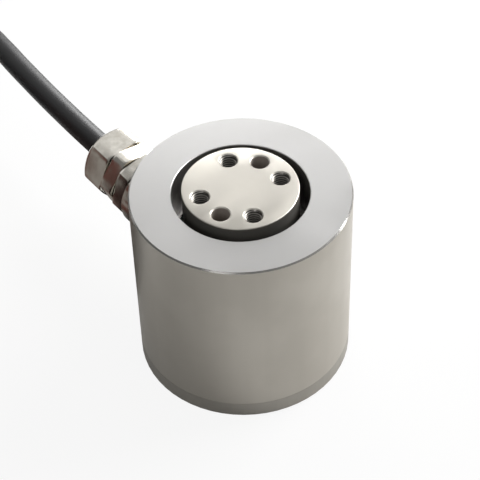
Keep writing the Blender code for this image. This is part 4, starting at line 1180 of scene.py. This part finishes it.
# Studio: pale floor, white surroundings for the camera, soft light from the right and behind
studio = {
    "floorSize": 1.2,
    "floorWhite": 0.72,
    "floorShadow": 0.10,
    "floorFade": (0.24, 0.50),  # from here to there the shadow gives way to white
    "floorDrop": 0.0001,
    "floorTint": (1.0, 1.0, 0.99),
    "brightSide": (0.85, 0.25, 0.45),
    "surroundings": ((0.0, 0.05), (0.40, 0.10), (0.65, 0.18), (0.85, 0.26), (1.0, 0.48)),
    "surroundingsTint": (1.0, 0.99, 0.97),
    "glossyShare": 0.12,
    "aim": (0.0, 0.0, 0.04),
    "lamps": {  # where it stands, its width and height, and its power
        "right_softbox": ((0.42, 0.10, 0.34), (0.34, 0.34), 4.0),
        "back_softbox": ((-0.08, 0.34, 0.22), (0.60, 0.24), 0.24),
        "corner_softbox": ((0.08, 0.31, 0.16), (0.13, 0.09), 0.18),
        "rear_strip": ((0.012, 0.12, 0.145), (0.09, 0.05), 0.0056),
        "cable_strip": ((0.07, 0.18, 0.07), (0.12, 0.06), 0.17),
        "left_softbox": ((-0.30, -0.40, 0.32), (0.20, 0.20), 0.36),
    },
    # A glowing sheet, no lamp: its colours paint brown reflections into the gland, and its foot
    # paints a darker reflection of the floor under it
    "card": {
        "place": (-0.0585, 0.062, 0.022),
        "size": (0.070, 0.044),
        "foot": 0.044,
        "colours": ((0.105, 0.040, 0.032), (0.29, 0.275, 0.26)),
        "scale": 46.0,
        "patches": (0.42, 0.58),
        "shade": (0.052, 0.060),  # its glow grows brighter along y, away from the body: painted shade near the body
        "shadeLevel": 0.12,
    },
}


def background(tree, seen, shaded, white, output):
    # White in the share that the camera sees, and lit by the lamps in the rest.
    mixed = addNode(tree, "ShaderNodeMixShader", {0: seen, 1: shaded, 2: white})
    out = addNode(tree, output)
    tree.links.new(mixed.outputs[0], out.inputs["Surface"])


def seenShare(tree, cameraShare=1.0):
    path = addNode(tree, "ShaderNodeLightPath")
    camera = calculate(tree, "MULTIPLY", path.outputs["Is Camera Ray"], cameraShare)
    glossy = calculate(tree, "MULTIPLY", path.outputs["Is Glossy Ray"], studio["glossyShare"])
    seen = calculate(tree, "MAXIMUM", camera, glossy)
    return calculate(tree, "MAXIMUM", seen, path.outputs["Is Transmission Ray"])


def makeWorld():
    world = bpy.data.worlds.new("studio")
    scene.world = world
    world.use_nodes = True
    tree = world.node_tree
    tree.nodes.clear()
    where = addNode(tree, "ShaderNodeTexCoord").outputs["Generated"]
    values = {0: where, 1: tuple(Vector(studio["brightSide"]).normalized())}
    lean = addNode(tree, "ShaderNodeVectorMath", values, operation="DOT_PRODUCT")
    share = calculate(tree, "MULTIPLY_ADD", lean.outputs["Value"], 0.5, 0.5)
    ramp = addNode(tree, "ShaderNodeValToRGB", {"Fac": share})
    ramp.color_ramp.interpolation = "B_SPLINE"
    stops = ramp.color_ramp.elements
    while len(stops) < len(studio["surroundings"]):
        stops.new(0.5)
    for stop, (spot, level) in zip(stops, studio["surroundings"]):
        stop.position = spot
        stop.color = (*(level * part for part in studio["surroundingsTint"]), 1.0)
    lit = addNode(tree, "ShaderNodeBackground", {"Color": ramp.outputs["Color"], "Strength": 1.0})
    white = addNode(tree, "ShaderNodeBackground", {"Color": (1.0, 1.0, 1.0), "Strength": 1.0})
    background(tree, seenShare(tree), lit.outputs[0], white.outputs[0], "ShaderNodeOutputWorld")


def emptyMaterial(name):
    material = bpy.data.materials.new(name)
    material.use_nodes = True
    material.node_tree.nodes.clear()
    return material, material.node_tree


def makeFloor():
    shape = bmesh.new()
    bmesh.ops.create_grid(shape, x_segments=1, y_segments=1, size=studio["floorSize"] / 2)
    mesh = bpy.data.meshes.new("floor")
    shape.to_mesh(mesh)
    shape.free()
    material, tree = emptyMaterial("paleFloor")
    reach = addNode(tree, "ShaderNodeVectorMath", {0: ownSpot(tree)}, operation="LENGTH")
    near = 1.0 - studio["floorShadow"]
    share = remap(tree, reach.outputs["Value"], *studio["floorFade"], near, 1.0)
    colour = [studio["floorWhite"] * part for part in studio["floorTint"]]
    matt = addNode(tree, "ShaderNodeBsdfDiffuse", {"Color": colour})
    white = addNode(tree, "ShaderNodeEmission", {"Color": (1.0, 1.0, 1.0), "Strength": 1.0})
    seen = seenShare(tree, share)
    background(tree, seen, matt.outputs[0], white.outputs[0], "ShaderNodeOutputMaterial")
    mesh.materials.append(material)
    floor = linked("floor", mesh)
    floor.location.z = cadBounds[0][2] - studio["floorDrop"]


def makeLamps():
    for name, (place, size, power) in studio["lamps"].items():
        data = bpy.data.lights.new(name, "AREA")
        data.shape = "RECTANGLE"
        data.size, data.size_y = size
        data.energy = power
        light = linked(name, data)
        light.location = place
        away = Vector(place) - Vector(studio["aim"])
        light.rotation_euler = away.to_track_quat("Z", "Y").to_euler()
        light.visible_camera = False


def makeReflectionCard():  # glowing brown sheet beside the gland, with a foot on the floor under it, seen only in reflections: it is no lamp, and paints brown reflections into the gland
    card = studio["card"]
    width, height = card["size"]
    x, y, z = card["place"]
    corners = ((-1, -1), (1, -1), (1, 1), (-1, 1))
    mesh = bpy.data.meshes.new("glowing_reflection_card")
    spots = [(x, y + a * width / 2, z + b * height / 2) for a, b in corners]
    spots += [(x + card["foot"], spot[1], spot[2]) for spot in spots[:2]]
    mesh.from_pydata(spots, [], [(0, 1, 2, 3), (0, 4, 5, 1)])
    material, tree = emptyMaterial("glowingReflectionCard")
    where = ownSpot(tree)
    share = remap(tree, noiseAt(tree, where, card["scale"], 2.0), *card["patches"])
    colour = blend(tree, share, *card["colours"])
    along = addNode(tree, "ShaderNodeSeparateXYZ", {0: where}).outputs[1]
    level = remap(tree, along, *card["shade"], card["shadeLevel"], 1.0)
    glow = addNode(tree, "ShaderNodeEmission", {"Color": colour, "Strength": level})
    out = addNode(tree, "ShaderNodeOutputMaterial")
    tree.links.new(glow.outputs[0], out.inputs["Surface"])
    mesh.materials.append(material)
    piece = linked("glowing_reflection_card", mesh)
    piece.visible_camera = False
    piece.visible_diffuse = False
    piece.visible_shadow = False


makeWorld()
makeFloor()
makeLamps()
makeReflectionCard()
print("studio")
